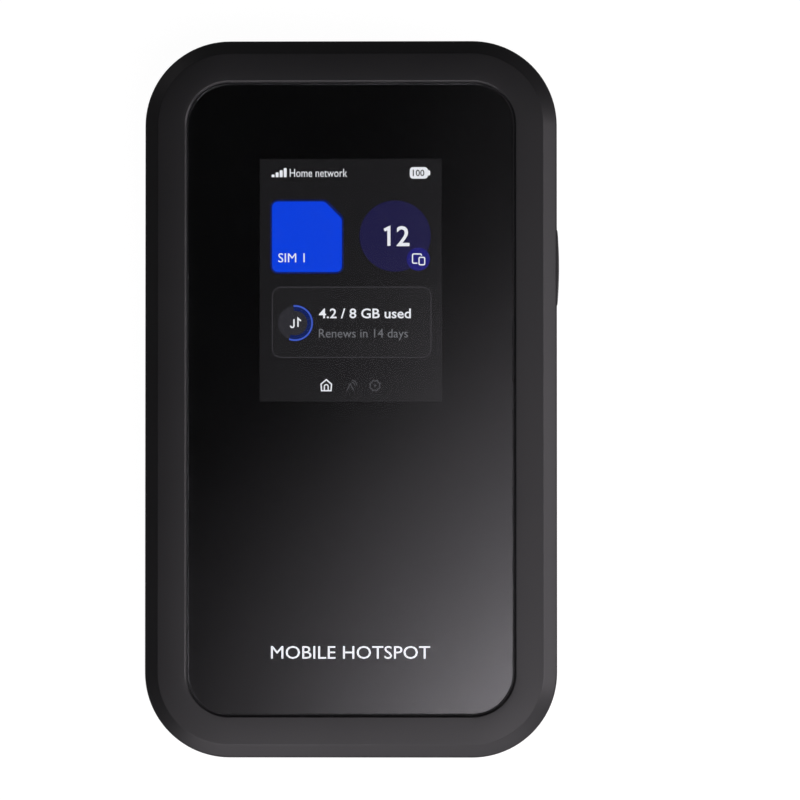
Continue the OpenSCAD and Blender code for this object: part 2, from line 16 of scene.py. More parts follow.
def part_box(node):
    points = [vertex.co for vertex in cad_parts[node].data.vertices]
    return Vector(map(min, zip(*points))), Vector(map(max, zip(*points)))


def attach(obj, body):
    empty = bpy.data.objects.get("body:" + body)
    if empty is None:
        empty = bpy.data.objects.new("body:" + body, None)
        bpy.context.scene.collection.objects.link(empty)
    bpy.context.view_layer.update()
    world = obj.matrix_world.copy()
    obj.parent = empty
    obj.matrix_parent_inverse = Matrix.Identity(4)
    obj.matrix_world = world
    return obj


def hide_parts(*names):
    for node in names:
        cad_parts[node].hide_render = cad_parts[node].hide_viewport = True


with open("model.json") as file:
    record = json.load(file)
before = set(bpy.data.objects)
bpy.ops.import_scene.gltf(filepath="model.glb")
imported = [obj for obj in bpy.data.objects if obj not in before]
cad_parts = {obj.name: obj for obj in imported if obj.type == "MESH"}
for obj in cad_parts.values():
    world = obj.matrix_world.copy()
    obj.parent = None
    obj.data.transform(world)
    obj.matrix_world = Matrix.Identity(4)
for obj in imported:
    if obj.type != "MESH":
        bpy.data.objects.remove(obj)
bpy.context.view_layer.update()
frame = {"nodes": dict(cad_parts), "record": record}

MM = 0.001
HOUSING, COVER, BATTERY, CARD, BUTTON = "housing", "cover", "battery", "sim_card", "button"


# --- Sizes taken from the frame ------------------------------------------------------------

def span(node):
    """A CAD node's lowest and highest corner, in millimetres."""
    low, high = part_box(node)
    return Vector(low) / MM, Vector(high) / MM


def middle(node):
    low, high = span(node)
    return (low + high) / 2


def size(node):
    low, high = span(node)
    return high - low


housing_low, housing_high = span("front_housing")
BODY_W, BODY_L = size("front_housing")[:2]
SIDE_X, END_Y = BODY_W / 2, BODY_L / 2
TOP_Z = housing_high.z
SEAM_GAP = 0.15
SEAM_Z = housing_low.z - SEAM_GAP
CORNER_R = 14.3
WALL = 1.5

# Front edge, from the side wall to the lens
SLOPE_DEPTH = 2.25
CROWN = 0.25
SLOPE_TOP_Z = TOP_Z - CROWN
SLOPE_FOOT_Z = SLOPE_TOP_Z - SLOPE_DEPTH
SHOULDER_R = 1.0
BEZEL_DEPTH = 6.9
LIP = 0.25
LENS_TOP_Z = span("front_lens")[1].z
LENS_LOW_Z = span("front_lens")[0].z
LENS_DEPTH = SIDE_X - span("front_lens")[1].x
SHELF_TOP_Z = span("lens_adhesive")[0].z
SHELF_LOW_Z = SHELF_TOP_Z - 1.15

# Display
SCREEN_W, SCREEN_L = 30.6, 40.8
SCREEN_Y = 20.0
GLASS_Z = span("lcd_panel")[1].z


# --- Small helpers for node trees ----------------------------------------------------------

def fill(tree, node, inputs):
    """Fills or links a node's inputs by name or number."""
    for name, value in inputs.items():
        if isinstance(value, bpy.types.NodeSocket):
            tree.links.new(value, node.inputs[name])
        else:
            node.inputs[name].default_value = value


def add(tree, kind, inputs=None, **settings):
    """Adds a node, sets its settings and fills its inputs."""
    made = tree.nodes.new(kind)
    for name, value in settings.items():
        setattr(made, name, value)
    fill(tree, made, inputs or {})
    return made


def maths(tree, operation, *values):
    return add(tree, "ShaderNodeMath", dict(enumerate(values)), operation=operation).outputs[0]


def remapped(tree, value, low, high, to_low=0.0, to_high=1.0, **settings):
    return add(tree, "ShaderNodeMapRange",
               {"Value": value, "From Min": low, "From Max": high, "To Min": to_low,
                "To Max": to_high}, **settings).outputs[0]


def scaled(tree, colour, factor):
    return add(tree, "ShaderNodeVectorMath", {0: colour, "Scale": factor},
               operation="SCALE").outputs[0]


def noise(tree, place, scale, detail, roughness=0.5, distortion=0.0):
    return add(tree, "ShaderNodeTexNoise",
               {"Vector": place, "Scale": scale, "Detail": detail, "Roughness": roughness,
                "Distortion": distortion}).outputs["Fac"]


def new_group(name, kind, takes, gives):
    """A node group with named inputs, as (name, socket type, value), and named outputs."""
    group = bpy.data.node_groups.new(name, kind)
    for label, socket, value in takes:
        made = group.interface.new_socket(label, in_out="INPUT", socket_type=socket)
        if value is not None:
            made.default_value = value
    for label, socket in gives:
        group.interface.new_socket(label, in_out="OUTPUT", socket_type=socket)
    return group, group.nodes.new("NodeGroupInput"), group.nodes.new("NodeGroupOutput")


def linear(red, green, blue):
    """A colour given in display values from 0 to 255, as Blender's linear RGBA."""
    def one(value):
        value /= 255
        return value / 12.92 if value <= 0.04045 else ((value + 0.055) / 1.055) ** 2.4
    return one(red), one(green), one(blue), 1.0


# --- Shader groups -------------------------------------------------------------------------

FLOAT, COLOUR, VECTOR = "NodeSocketFloat", "NodeSocketColor", "NodeSocketVector"
GEOMETRY, MATERIAL, OBJECT, INTEGER = (
    "NodeSocketGeometry", "NodeSocketMaterial", "NodeSocketObject", "NodeSocketInt")


def moulded_surface():
    """Spark-eroded grain with a slow drift of tone and gloss, for moulded plastic."""
    group, takes, gives = new_group(
        "moulded_surface", "ShaderNodeTree",
        [("Colour", COLOUR, (0.01, 0.01, 0.01, 1)), ("Tone Spread", FLOAT, 0.15),
         ("Roughness", FLOAT, 0.4), ("Gloss Spread", FLOAT, 0.05),
         ("Grains per mm", FLOAT, 8.0), ("Grain Depth", FLOAT, 0.2)],
        [("Colour", COLOUR), ("Roughness", FLOAT), ("Normal", VECTOR)])
    given = takes.outputs
    place = add(group, "ShaderNodeTexCoord").outputs["Object"]
    per_metre = maths(group, "MULTIPLY", given["Grains per mm"], 1 / MM)
    grain = noise(group, place, per_metre, 2.0, 0.6)
    drift = noise(group, place, 45.0, 3.0, 0.55)
    tone = remapped(group, drift, 0.3, 0.7, -0.5, 0.5)
    shade = maths(group, "MULTIPLY_ADD", tone, given["Tone Spread"], 1.0)
    centred = maths(group, "SUBTRACT", maths(group, "ADD", grain, drift), 1.0)
    bump = add(group, "ShaderNodeBump",
               {"Strength": given["Grain Depth"], "Distance": 0.02 * MM, "Height": grain})
    fill(group, gives, {
        "Colour": scaled(group, given["Colour"], shade),
        "Roughness": maths(group, "MULTIPLY_ADD", centred, given["Gloss Spread"],
                           given["Roughness"]),
        "Normal": bump.outputs["Normal"]})
    return group


def rolled_metal():
    """Fine lines along one direction with cloudy dull patches, for sheet and plated metal."""
    group, takes, gives = new_group(
        "rolled_metal", "ShaderNodeTree",
        [("Colour", COLOUR, (0.6, 0.6, 0.6, 1)), ("Roughness", FLOAT, 0.3),
         ("Lines", VECTOR, (400.0, 8000.0, 8000.0)), ("Line Depth", FLOAT, 0.15),
         ("Dullness", FLOAT, 0.2)],
        [("Colour", COLOUR), ("Roughness", FLOAT), ("Normal", VECTOR)])
    given = takes.outputs
    place = add(group, "ShaderNodeTexCoord").outputs["Object"]
    stretched = add(group, "ShaderNodeVectorMath", {0: place, 1: given["Lines"]},
                    operation="MULTIPLY")
    lines = noise(group, stretched.outputs[0], 1.0, 3.0)
    patch = remapped(group, noise(group, place, 220.0, 4.0), 0.45, 0.75)
    dull = maths(group, "MULTIPLY", patch, given["Dullness"])
    bump = add(group, "ShaderNodeBump",
               {"Strength": given["Line Depth"], "Distance": 0.01 * MM, "Height": lines})
    fill(group, gives, {
        "Colour": scaled(group, given["Colour"], maths(group, "SUBTRACT", 1.0, dull)),
        "Roughness": maths(group, "ADD", given["Roughness"], dull),
        "Normal": bump.outputs["Normal"]})
    return group


def handling():
    """A mask of faint smears and a few dust specks left by handling."""
    group, takes, gives = new_group(
        "handling", "ShaderNodeTree",
        [("Smears", FLOAT, 0.05), ("Specks", FLOAT, 0.05)],
        [("Smear", FLOAT), ("Speck", FLOAT)])
    place = add(group, "ShaderNodeTexCoord").outputs["Object"]
    smear = noise(group, place, 60.0, 5.0, distortion=1.2)
    soft = remapped(group, smear, 0.45, 0.8)
    specks = add(group, "ShaderNodeTexVoronoi", {"Vector": place, "Scale": 700.0})
    near = remapped(group, specks.outputs["Distance"], 0.05, 0.03)
    few = remapped(group, smear, 0.58, 0.62)
    dots = maths(group, "MULTIPLY", near, few)
    fill(group, gives, {
        "Smear": maths(group, "MULTIPLY", soft, takes.outputs["Smears"]),
        "Speck": maths(group, "MULTIPLY", dots, takes.outputs["Specks"])})
    return group


MOULDED, ROLLED, HANDLED = moulded_surface(), rolled_metal(), handling()


# --- Materials -----------------------------------------------------------------------------

def blank(name):
    """A new material, its tree and its Principled shader."""
    made = bpy.data.materials.new(name)
    made.use_nodes = True
    tree = made.node_tree
    return made, tree, tree.nodes["Principled BSDF"]


DUST = (0.3, 0.29, 0.27, 1)


def moulded(name, colour, roughness, grains=8.0, depth=0.2, tone=0.15, specular=0.5,
            handled=0.03):
    """Moulded plastic or rubber, a little dusty where it has been handled."""
    made, tree, shader = blank(name)
    surface = add(tree, "ShaderNodeGroup", {
        "Colour": (*colour, 1), "Tone Spread": tone, "Roughness": roughness,
        "Gloss Spread": 0.06, "Grains per mm": grains, "Grain Depth": depth},
        node_tree=MOULDED).outputs
    marks = add(tree, "ShaderNodeGroup", {"Smears": handled, "Specks": handled},
                node_tree=HANDLED).outputs
    first, second = 6, 7
    dusty = add(tree, "ShaderNodeMix",
                {"Factor": marks["Speck"], first: surface["Colour"], second: DUST},
                data_type="RGBA")
    fill(tree, shader, {
        "Base Color": dusty.outputs[2],
        "Roughness": maths(tree, "ADD", surface["Roughness"], marks["Smear"]),
        "Normal": surface["Normal"], "Specular IOR Level": specular})
    return made


def metal(name, colour, roughness, lines=(400.0, 8000.0, 8000.0), dullness=0.15):
    """Sheet, plated or turned metal."""
    made, tree, shader = blank(name)
    surface = add(tree, "ShaderNodeGroup", {
        "Colour": (*colour, 1), "Roughness": roughness, "Lines": lines,
        "Line Depth": 0.15, "Dullness": dullness}, node_tree=ROLLED).outputs
    fill(tree, shader, {
        "Base Color": surface["Colour"], "Roughness": surface["Roughness"],
        "Normal": surface["Normal"], "Metallic": 1.0})
    return made


def window_glass():
    """The clear front window, with the faint smears of a wiped pane."""
    made, tree, shader = blank("window_glass")
    marks = add(tree, "ShaderNodeGroup", {"Smears": 0.02, "Specks": 0.0},
                node_tree=HANDLED).outputs
    fill(tree, shader, {
        "Roughness": maths(tree, "ADD", marks["Smear"], 0.07),
        "Base Color": (0.9, 0.92, 0.95, 1), "Transmission Weight": 1.0, "IOR": 1.5})
    return made


def glowing(name, colour):
    """A part of the display's picture: lit dots behind glass, slightly uneven."""
    made, tree, shader = blank(name)
    place = add(tree, "ShaderNodeTexCoord").outputs["Object"]
    shade = remapped(tree, noise(tree, place, 900.0, 1.0), 0.0, 1.0, 0.96, 1.04)
    fill(tree, shader, {
        "Emission Color": scaled(tree, linear(*colour)[:3], shade), "Emission Strength": 1.0,
        "Base Color": (0.002, 0.002, 0.002, 1), "Roughness": 0.6, "Specular IOR Level": 0.05})
    return made


BLACK = (0.0095, 0.0095, 0.0102)

looks = {
    "housing_plastic": moulded("satin_black_housing", BLACK, 0.44, grains=7.0, depth=0.16),
    "cover_plastic": moulded("spark_black_cover", BLACK, 0.5, grains=4.0, depth=0.4),
    "button_plastic": moulded("satin_black_button", BLACK, 0.38, grains=7.0, depth=0.1),
    "lens_glass": window_glass(),
    "mask_print": moulded("black_window_print", (0.0016, 0.0016, 0.0018), 0.5, depth=0.02,
                          specular=0.0, handled=0.0),
    "adhesive_tape": moulded("gasket_tape", (0.03, 0.03, 0.03), 0.8, depth=0.4),
    "display_glass": moulded("dark_display_glass", (0.003, 0.003, 0.004), 0.2, depth=0.02),
    "light_guide": moulded("white_light_guide", (0.75, 0.76, 0.78), 0.35, depth=0.1),
    "stamped_steel": metal("stamped_bracket", (0.52, 0.52, 0.53), 0.34),
    "ribbon_film": moulded("amber_film", (0.36, 0.13, 0.02), 0.3, grains=3.0, tone=0.3),
    "connector_plastic": moulded("connector_nylon", (0.014, 0.014, 0.015), 0.55),
    "board_laminate": moulded("green_solder_mask", (0.006, 0.05, 0.028), 0.3, grains=5.0),
    "chip_epoxy": moulded("chip_epoxy", (0.02, 0.02, 0.022), 0.6, grains=10.0, depth=0.3),
    "shield_tinplate": metal("tinned_shield", (0.62, 0.62, 0.6), 0.28, dullness=0.25),
    "thermal_rubber": moulded("thermal_silicone", (0.2, 0.25, 0.4), 0.8, grains=4.0),
    "spreader_copper": metal("rolled_copper", (0.72, 0.36, 0.2), 0.3, dullness=0.3),
    "screw_steel": metal("zinc_plated_screw", (0.5, 0.5, 0.52), 0.3,
                         lines=(3000.0, 3000.0, 9000.0)),
    "socket_steel": metal("nickel_shell", (0.66, 0.65, 0.63), 0.24),
    "gold_contact": metal("gold_contact", (0.83, 0.58, 0.22), 0.22, dullness=0.1),
    "carrier_plastic": moulded("antenna_carrier", (0.05, 0.05, 0.055), 0.6),
    "chassis_plastic": moulded("glass_filled_chassis", (0.02, 0.02, 0.022), 0.55, grains=5.0,
                               depth=0.4, tone=0.3),
    "label_paper": moulded("plain_label_paper", (0.72, 0.72, 0.7), 0.75, grains=12.0),
    "foot_rubber": moulded("foot_rubber", (0.012, 0.012, 0.012), 0.8, grains=5.0, depth=0.5),
    "pad_foam": moulded("open_foam", (0.03, 0.03, 0.033), 0.95, grains=2.5, depth=1.0),
    "battery_plastic": moulded("battery_frame_plastic", (0.012, 0.012, 0.013), 0.5),
    "cell_foil": metal("pouch_foil", (0.7, 0.7, 0.72), 0.4, lines=(900.0, 900.0, 900.0)),
    "battery_wrap": moulded("battery_wrap_film", (0.03, 0.03, 0.034), 0.4, grains=6.0),
    "card_plastic": moulded("card_stock", (0.8, 0.8, 0.82), 0.4, grains=9.0),
    "plunger_plastic": moulded("acetal_plunger", (0.6, 0.57, 0.5), 0.4),
    "tan_ceramic": moulded("tan_ceramic", (0.38, 0.27, 0.17), 0.55, grains=12.0),
    "black_resistor": moulded("black_resistor", (0.02, 0.02, 0.022), 0.35, grains=10.0),
    "grey_ferrite": moulded("grey_ferrite", (0.09, 0.09, 0.1), 0.7, grains=6.0, depth=0.5),
}

slot_of = {row["node"]: row["material_slot"] for row in frame["record"]["subparts"]}
for node, made in frame["nodes"].items():
    made.data.materials.clear()
    made.data.materials.append(looks[slot_of[node]])


# --- Meshes --------------------------------------------------------------------------------

def mesh_from(name, points, faces):
    """A tidy mesh from points in millimetres."""
    made = bpy.data.meshes.new(name)
    made.from_pydata([Vector(p) * MM for p in points], [], faces)
    tidy(made)
    return made


def tidy(mesh):
    """Merges a mesh's doubled points and turns its faces outwards."""
    work = bmesh.new()
    work.from_mesh(mesh)
    bmesh.ops.remove_doubles(work, verts=work.verts, dist=0.0004 * MM)
    bmesh.ops.recalc_face_normals(work, faces=work.faces)
    work.to_mesh(mesh)
    work.free()


def joined(name, meshes):
    """Several meshes as one, each a closed shell of its own."""
    work = bmesh.new()
    for mesh in meshes:
        work.from_mesh(mesh)
    made = bpy.data.meshes.new(name)
    work.to_mesh(made)
    work.free()
    return made


def placed(mesh):
    """An object for a mesh. Those that only help are removed again after use."""
    made = bpy.data.objects.new(mesh.name, mesh)
    bpy.context.scene.collection.objects.link(made)
    return made


def evaluated(made):
    """The plain mesh that an object's modifiers give. The object is then removed."""
    graph = bpy.context.evaluated_depsgraph_get()
    graph.update()
    mesh = bpy.data.meshes.new_from_object(made.evaluated_get(graph))
    bpy.data.objects.remove(made)
    return mesh


def carved(base, tools, operation="DIFFERENCE"):
    """base with each tool cut away from it, or joined to it."""
    for tool in tools:
        body, cutter = placed(base), placed(tool)
        step = body.modifiers.new("carve", "BOOLEAN")
        step.operation, step.solver, step.object = operation, "EXACT", cutter
        base = evaluated(body)
        bpy.data.objects.remove(cutter)
    return base


def piece(name, mesh, slot, stands_for=(), body=HOUSING, look=None, crease=32):
    """A finished piece: smooth, with even shading and its look, and the body it rides on."""
    mesh.name = name
    mesh.materials.clear()
    mesh.materials.append(look or looks[slot])
    mesh.polygons.foreach_set("use_smooth", [True] * len(mesh.polygons))
    mesh.set_sharp_from_angle(angle=math.radians(crease))
    made = placed(mesh)
    made.name = name
    weigh = made.modifiers.new("even shading", "WEIGHTED_NORMAL")
    weigh.keep_sharp = True
    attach(made, body)
    if stands_for:
        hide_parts(*stands_for)


def rounded(width, length, radius, steps=8):
    """A rounded rectangle as a loop of (u, v) points, anticlockwise."""
    radius = min(radius, width / 2, length / 2)
    loop = []
    for quarter, (along, across) in enumerate([(1, 1), (-1, 1), (-1, -1), (1, -1)]):
        for step in range(steps + 1):
            angle = math.radians(90 * (quarter + step / steps))
            loop.append((along * (width / 2 - radius) + radius * math.cos(angle),
                         across * (length / 2 - radius) + radius * math.sin(angle)))
    return loop


AXES = {"x": lambda u, v, t: (t, u, v), "y": lambda u, v, t: (u, t, v),
        "z": lambda u, v, t: (u, v, t)}


def loft(name, sections, axis="z", at=(0, 0, 0), steps=8):
    """A skin over rounded rectangles given as (t, width, length, radius), capped at its ends."""
    at = Vector(at)
    points, faces = [], []
    for t, width, length, radius in sections:
        loop = rounded(width, length, radius, steps)
        points += [at + Vector(AXES[axis](u, v, t)) for u, v in loop]
    round_ = 4 * (steps + 1)
    last = len(sections) - 1
    for row in range(last):
        here, there = row * round_, (row + 1) * round_
        for k in range(round_):
            after = (k + 1) % round_
            faces.append((here + k, here + after, there + after, there + k))
    faces.append(tuple(range(round_))[::-1])
    faces.append(tuple(last * round_ + k for k in range(round_)))
    return mesh_from(name, points, faces)


def turned(name, rows, axis="z", at=(0, 0, 0), steps=6):
    """A round shape given as (height, radius) rows."""
    return loft(name, [(t, 2 * r, 2 * r, r) for t, r in rows], axis, at, steps)


def pad(name, width, length, radius, low, high, edge=0.2, foot=None, axis="z", at=(0, 0, 0),
        steps=8, turns=4):
    """A rounded slab whose two rims are rounded by edge at the top and foot at the bottom."""
    foot = edge if foot is None else foot
    sections = []
    for step in range(turns + 1):
        angle = math.radians(90 * step / turns)
        inset = foot * (1 - math.sin(angle))
        sections.append((low + foot * (1 - math.cos(angle)), width - 2 * inset,
                         length - 2 * inset, max(radius - inset, 0.01)))
    for step in range(turns + 1):
        angle = math.radians(90 * step / turns)
        inset = edge * (1 - math.cos(angle))
        sections.append((high - edge * (1 - math.sin(angle)), width - 2 * inset,
                         length - 2 * inset, max(radius - inset, 0.01)))
    return loft(name, sections, axis, at, steps)


def box_pad(name, low, high, radius=0.3, edge=0.1, steps=4):
    """A pad that fills the box between two corners."""
    low, high = Vector(low), Vector(high)
    centre, extent = (low + high) / 2, high - low
    return pad(name, extent.x, extent.y, radius, low.z, high.z, edge,
               at=(centre.x, centre.y, 0), steps=steps)


def filleted(corners, turns=5):
    """An outline of (depth, z, radius) corners with each corner rounded by its radius."""
    path = []
    count = len(corners)
    for i, (d, z, radius) in enumerate(corners):
        here = Vector((d, z))
        if radius <= 0:
            path.append(here)
            continue
        back = (Vector(corners[i - 1][:2]) - here).normalized()
        on = (Vector(corners[(i + 1) % count][:2]) - here).normalized()
        half = back.angle(on) / 2
        reach = radius / math.tan(half)
        centre = here + (back + on).normalized() * (radius / math.sin(half))
        start, end = here + back * reach - centre, here + on * reach - centre
        sweep = start.angle_signed(end)
        for step in range(turns + 1):
            turn = Matrix.Rotation(-sweep * step / turns, 2)
            path.append(centre + turn @ start)
    return path


# --- Geometry Nodes: a profile carried round the outline -----------------------------------

def rim_sweep():
    """Carries a closed profile, drawn as (depth, 0, z), round a rounded rectangle."""
    group, takes, gives = new_group(
        "rim_sweep", "GeometryNodeTree",
        [("Profile", GEOMETRY, None), ("Width", FLOAT, 0.07), ("Length", FLOAT, 0.12),
         ("Corner Radius", FLOAT, 0.014), ("Corner Steps", INTEGER, 24),
         ("Material", MATERIAL, None)],
        [("Rim", GEOMETRY)])
    outline = add(group, "GeometryNodeCurvePrimitiveQuadrilateral",
                  {"Width": takes.outputs["Width"], "Height": takes.outputs["Length"]})
    bends = add(group, "GeometryNodeFilletCurve",
                {"Curve": outline.outputs["Curve"], "Radius": takes.outputs["Corner Radius"],
                 "Count": takes.outputs["Corner Steps"]}, mode="POLY")
    profile = add(group, "GeometryNodeMeshToCurve", {"Mesh": takes.outputs["Profile"]})
    skin = add(group, "GeometryNodeCurveToMesh",
               {"Curve": bends.outputs["Curve"], "Profile Curve": profile.outputs["Curve"]})
    real = add(group, "GeometryNodeRealizeInstances", {"Geometry": skin.outputs["Mesh"]})
    paint = add(group, "GeometryNodeSetMaterial",
                {"Geometry": real.outputs["Geometry"], "Material": takes.outputs["Material"]})
    fill(group, gives, {"Rim": paint.outputs["Geometry"]})
    return group


def set_inputs(modifier, values):
    """Sets a Geometry Nodes modifier's inputs by the names of its tree's sockets."""
    for item in modifier.node_group.interface.items_tree:
        if item.in_out == "INPUT" and item.name in values:
            modifier[item.identifier] = values[item.name]


RIM_SWEEP = rim_sweep()


def rim(name, corners, look):
    """A closed ring round the body whose section is the outline of rounded corners."""
    path = filleted(corners)
    loop = bpy.data.meshes.new(name)
    loop.from_pydata([(-d * MM, -z * MM, 0) for d, z in path],
                     [(i, (i + 1) % len(path)) for i in range(len(path))], [])
    made = placed(loop)
    sweep = made.modifiers.new("sweep", "NODES")
    sweep.node_group = RIM_SWEEP
    set_inputs(sweep, {"Width": BODY_W * MM, "Length": BODY_L * MM,
                       "Corner Radius": CORNER_R * MM, "Corner Steps": 24, "Material": looks[look]})
    mesh = evaluated(made)
    tidy(mesh)
    return mesh


# --- Geometry Nodes: one piece set at many places ------------------------------------------

def set_out():
    """Sets one piece at every point of a mesh, turned about Z by the point's own angle."""
    group, takes, gives = new_group(
        "set_out", "GeometryNodeTree",
        [("Places", GEOMETRY, None), ("Piece", OBJECT, None), ("Material", MATERIAL, None)],
        [("Pieces", GEOMETRY)])
    pattern = add(group, "GeometryNodeObjectInfo", {"Object": takes.outputs["Piece"]})
    angle = add(group, "GeometryNodeInputNamedAttribute", {"Name": "turn"}, data_type="FLOAT")
    turn = add(group, "ShaderNodeCombineXYZ", {"Z": angle.outputs["Attribute"]})
    copies = add(group, "GeometryNodeInstanceOnPoints",
                 {"Points": takes.outputs["Places"], "Instance": pattern.outputs["Geometry"],
                  "Rotation": turn.outputs["Vector"]})
    real = add(group, "GeometryNodeRealizeInstances", {"Geometry": copies.outputs["Instances"]})
    paint = add(group, "GeometryNodeSetMaterial",
                {"Geometry": real.outputs["Geometry"], "Material": takes.outputs["Material"]})
    fill(group, gives, {"Pieces": paint.outputs["Geometry"]})
    return group


SET_OUT = set_out()


def repeated(pattern, places, look):
    """pattern set at each place (x, y, z) or (x, y, z, turn in degrees), as one mesh."""
    spots = bpy.data.meshes.new(pattern.name)
    spots.from_pydata([Vector(place[:3]) * MM for place in places], [], [])
    turns = spots.attributes.new("turn", "FLOAT", "POINT")
    for value, place in zip(turns.data, places):
        value.value = math.radians(place[3]) if len(place) > 3 else 0.0
    made, sample = placed(spots), placed(pattern)
    step = made.modifiers.new("set out", "NODES")
    step.node_group = SET_OUT
    set_inputs(step, {"Piece": sample, "Material": looks[look]})
    mesh = evaluated(made)
    bpy.data.objects.remove(sample)
    return mesh


# --- Housing -------------------------------------------------------------------------------

def knife(name, width, height, inner, outer, flare, axis, at, turns=4):
    """A stadium-shaped cutter from inner to outer that flares round the mouth at its end."""
    sections = [(inner, width, height, height / 2)]
    side = 1 if outer > inner else -1
    for step in range(turns + 1):
        angle = math.radians(90 * step / turns)
        grow = flare * (1 - math.cos(angle))
        sections.append((outer - side * flare * (1 - math.sin(angle)), width + 2 * grow,
                         height + 2 * grow, height / 2 + grow))
    sections.append((outer + side, width + 2 * flare, height + 2 * flare, height / 2 + flare))
    return loft(name, sections, axis, at, steps=10)


def crowned(start, end, rise, steps=6):
    """Points of a shallow curve that flattens towards its end."""
    return [(start[0] + (end[0] - start[0]) * k / steps,
             end[1] - rise * (1 - k / steps) ** 2, 0) for k in range(1, steps)]


BUTTON_AT = middle("power_button")
BUTTON_L = 13.0
BUTTON_H = 3.4
USB_AT = middle("usb_shell")
BOSS_TOP_Z = SHELF_LOW_Z + 0.4
FLANGE_TOP_Z = span("antenna_carrier_top")[0].z - 0.3
BOARD_LOW_Z, BOARD_TOP_Z = span("main_board")[0].z, span("main_board")[1].z
BOSS_DEPTH = CORNER_R - (CORNER_R - 6.0) / math.sqrt(2)
CORNER_BOSSES = [(x * (SIDE_X - BOSS_DEPTH), y * (END_Y - BOSS_DEPTH))
                 for x in (-1, 1) for y in (-1, 1)]
SIDE_BOSSES = [(x * (SIDE_X - 3.8), -6.0) for x in (-1, 1)]
BOARD_BOSSES = [(x * 22.5, y) for x in (-1, 1) for y in (-44.0, 47.5)]
FEET = [(x * 22, y * 47.5, 0) for x in (-1, 1) for y in (-1, 1)]
BLADES = [(x, 0, 0) for x in (-4.5, -1.5, 1.5, 4.5)]
HOT_CHIPS = [((-14, 31), 15, 1.0), ((13, 30), 12, 0.9)]


def boss(radius, low, high):
    """A screw boss: a drafted post with a countersunk blind hole."""
    post = turned("boss", [(low, radius), (low + 0.15, radius + 0.05), (high, radius + 0.05)])
    hole = turned("hole", [(low - 1, 1.2), (low, 1.2), (low + 0.3, 0.9), (low + 5.5, 0.9)])
    return carved(post, [hole])


def front_shell():
    lip_foot = BEZEL_DEPTH + LIP
    start, end = (SLOPE_DEPTH, SLOPE_TOP_Z), (BEZEL_DEPTH - 0.05, TOP_Z)
    ring = rim("front_shell", [
        (WALL, SEAM_Z + SEAM_GAP, 0.1), (0, SEAM_Z + SEAM_GAP, 0.2), (0, SLOPE_FOOT_Z, SHOULDER_R),
        (*start, 0.35), *crowned(start, end, CROWN), (*end, 0.08),
        (lip_foot, LENS_TOP_Z - 0.08, 0.05), (lip_foot, SHELF_TOP_Z, 0),
        (BEZEL_DEPTH + 2, SHELF_TOP_Z, 0), (BEZEL_DEPTH + 2, SHELF_LOW_Z, 0),
        (WALL, SHELF_LOW_Z, 0.6)], "housing_plastic")
    shelf = pad("shelf", BODY_W - 2 * (BEZEL_DEPTH + 1), BODY_L - 2 * (BEZEL_DEPTH + 1), 6.0,
                SHELF_LOW_Z + 0.02, SHELF_TOP_Z - 0.02, 0.05)
    cell_low, cell_high = span("lcd_backlight")
    opening = box_pad("opening", (cell_low.x - 0.4, cell_low.y - 1.5, SHELF_LOW_Z - 1),
                      (cell_high.x + 0.4, cell_high.y + 0.4, SHELF_TOP_Z + 1), 0.6, 0.01)
    button_slot = knife("button_slot", BUTTON_L + 0.3, BUTTON_H + 0.3, SIDE_X - WALL - 1, SIDE_X,
                        0.18, "x", (0, BUTTON_AT.y, BUTTON_AT.z))
    usb_slot = knife("usb_slot", 9.5, 3.8, -END_Y + WALL + 1, -END_Y, 0.3, "y",
                     (0, 0, USB_AT.z))
    shell = carved(carved(ring, [shelf], "UNION"), [opening, button_slot, usb_slot])
    piece("front_shell", shell, "housing_plastic", ["front_housing"])
    sets = [(CORNER_BOSSES, 2.35, FLANGE_TOP_Z), (SIDE_BOSSES, 2.05, FLANGE_TOP_Z),
            (BOARD_BOSSES, 1.85, BOARD_TOP_Z)]
    posts = [repeated(boss(radius, low, BOSS_TOP_Z), [(x, y, 0) for x, y in places],
                      "housing_plastic") for places, radius, low in sets]
    piece("screw_bosses", joined("screw_bosses", posts), "housing_plastic")


def front_window():
    width, length = BODY_W - 2 * LENS_DEPTH, BODY_L - 2 * LENS_DEPTH
    pane = pad("front_window", width, length, CORNER_R - LENS_DEPTH, LENS_LOW_Z + 0.02,
               LENS_TOP_Z, 0.12, steps=20)
    piece("front_window", pane, "lens_glass", ["front_lens"])
    print_low, print_high = span("lens_mask")
    sheet = pad("window_print", width - 0.2, length - 0.2, CORNER_R - LENS_DEPTH - 0.1,
                print_low.z, print_high.z, 0.005, steps=20)
    clear = pad("clear", SCREEN_W + 0.2, SCREEN_L + 0.2, 0.25, print_low.z - 1, print_high.z + 1,
                0.01, at=(0, SCREEN_Y, 0))
    piece("window_print", carved(sheet, [clear]), "mask_print", ["lens_mask"])


# --- Lettering and line drawing ------------------------------------------------------------

def letters(words, height, at, low, thick=0.012, width=None, weight=0.0, anchor="LEFT"):
    """Plain sans lettering of a cap height, standing at a place; width stretches the line."""
    def flat(text):
        curve = bpy.data.curves.new(text, "FONT")
        curve.body, curve.size, curve.resolution_u, curve.offset = text, 1.0, 3, weight
        return curve
    sample = evaluated(placed(flat("H")))
    cap = max(v.co.y for v in sample.vertices)
    scale = height / cap
    line = flat(words)
    line.extrude = thick / 2 / scale
    mesh = evaluated(placed(line))
    xs = [v.co.x for v in mesh.vertices]
    stretch = width / ((max(xs) - min(xs)) * scale) if width else 1.0
    left = min(xs) if anchor == "LEFT" else (min(xs) + max(xs)) / 2
    mesh.transform(Matrix.Translation(Vector((at[0], at[1], low + thick / 2)) * MM)
                   @ Matrix.Diagonal((scale * stretch * MM, scale * MM, scale * MM, 1))
                   @ Matrix.Translation((-left, 0, 0)))
    tidy(mesh)
    return mesh


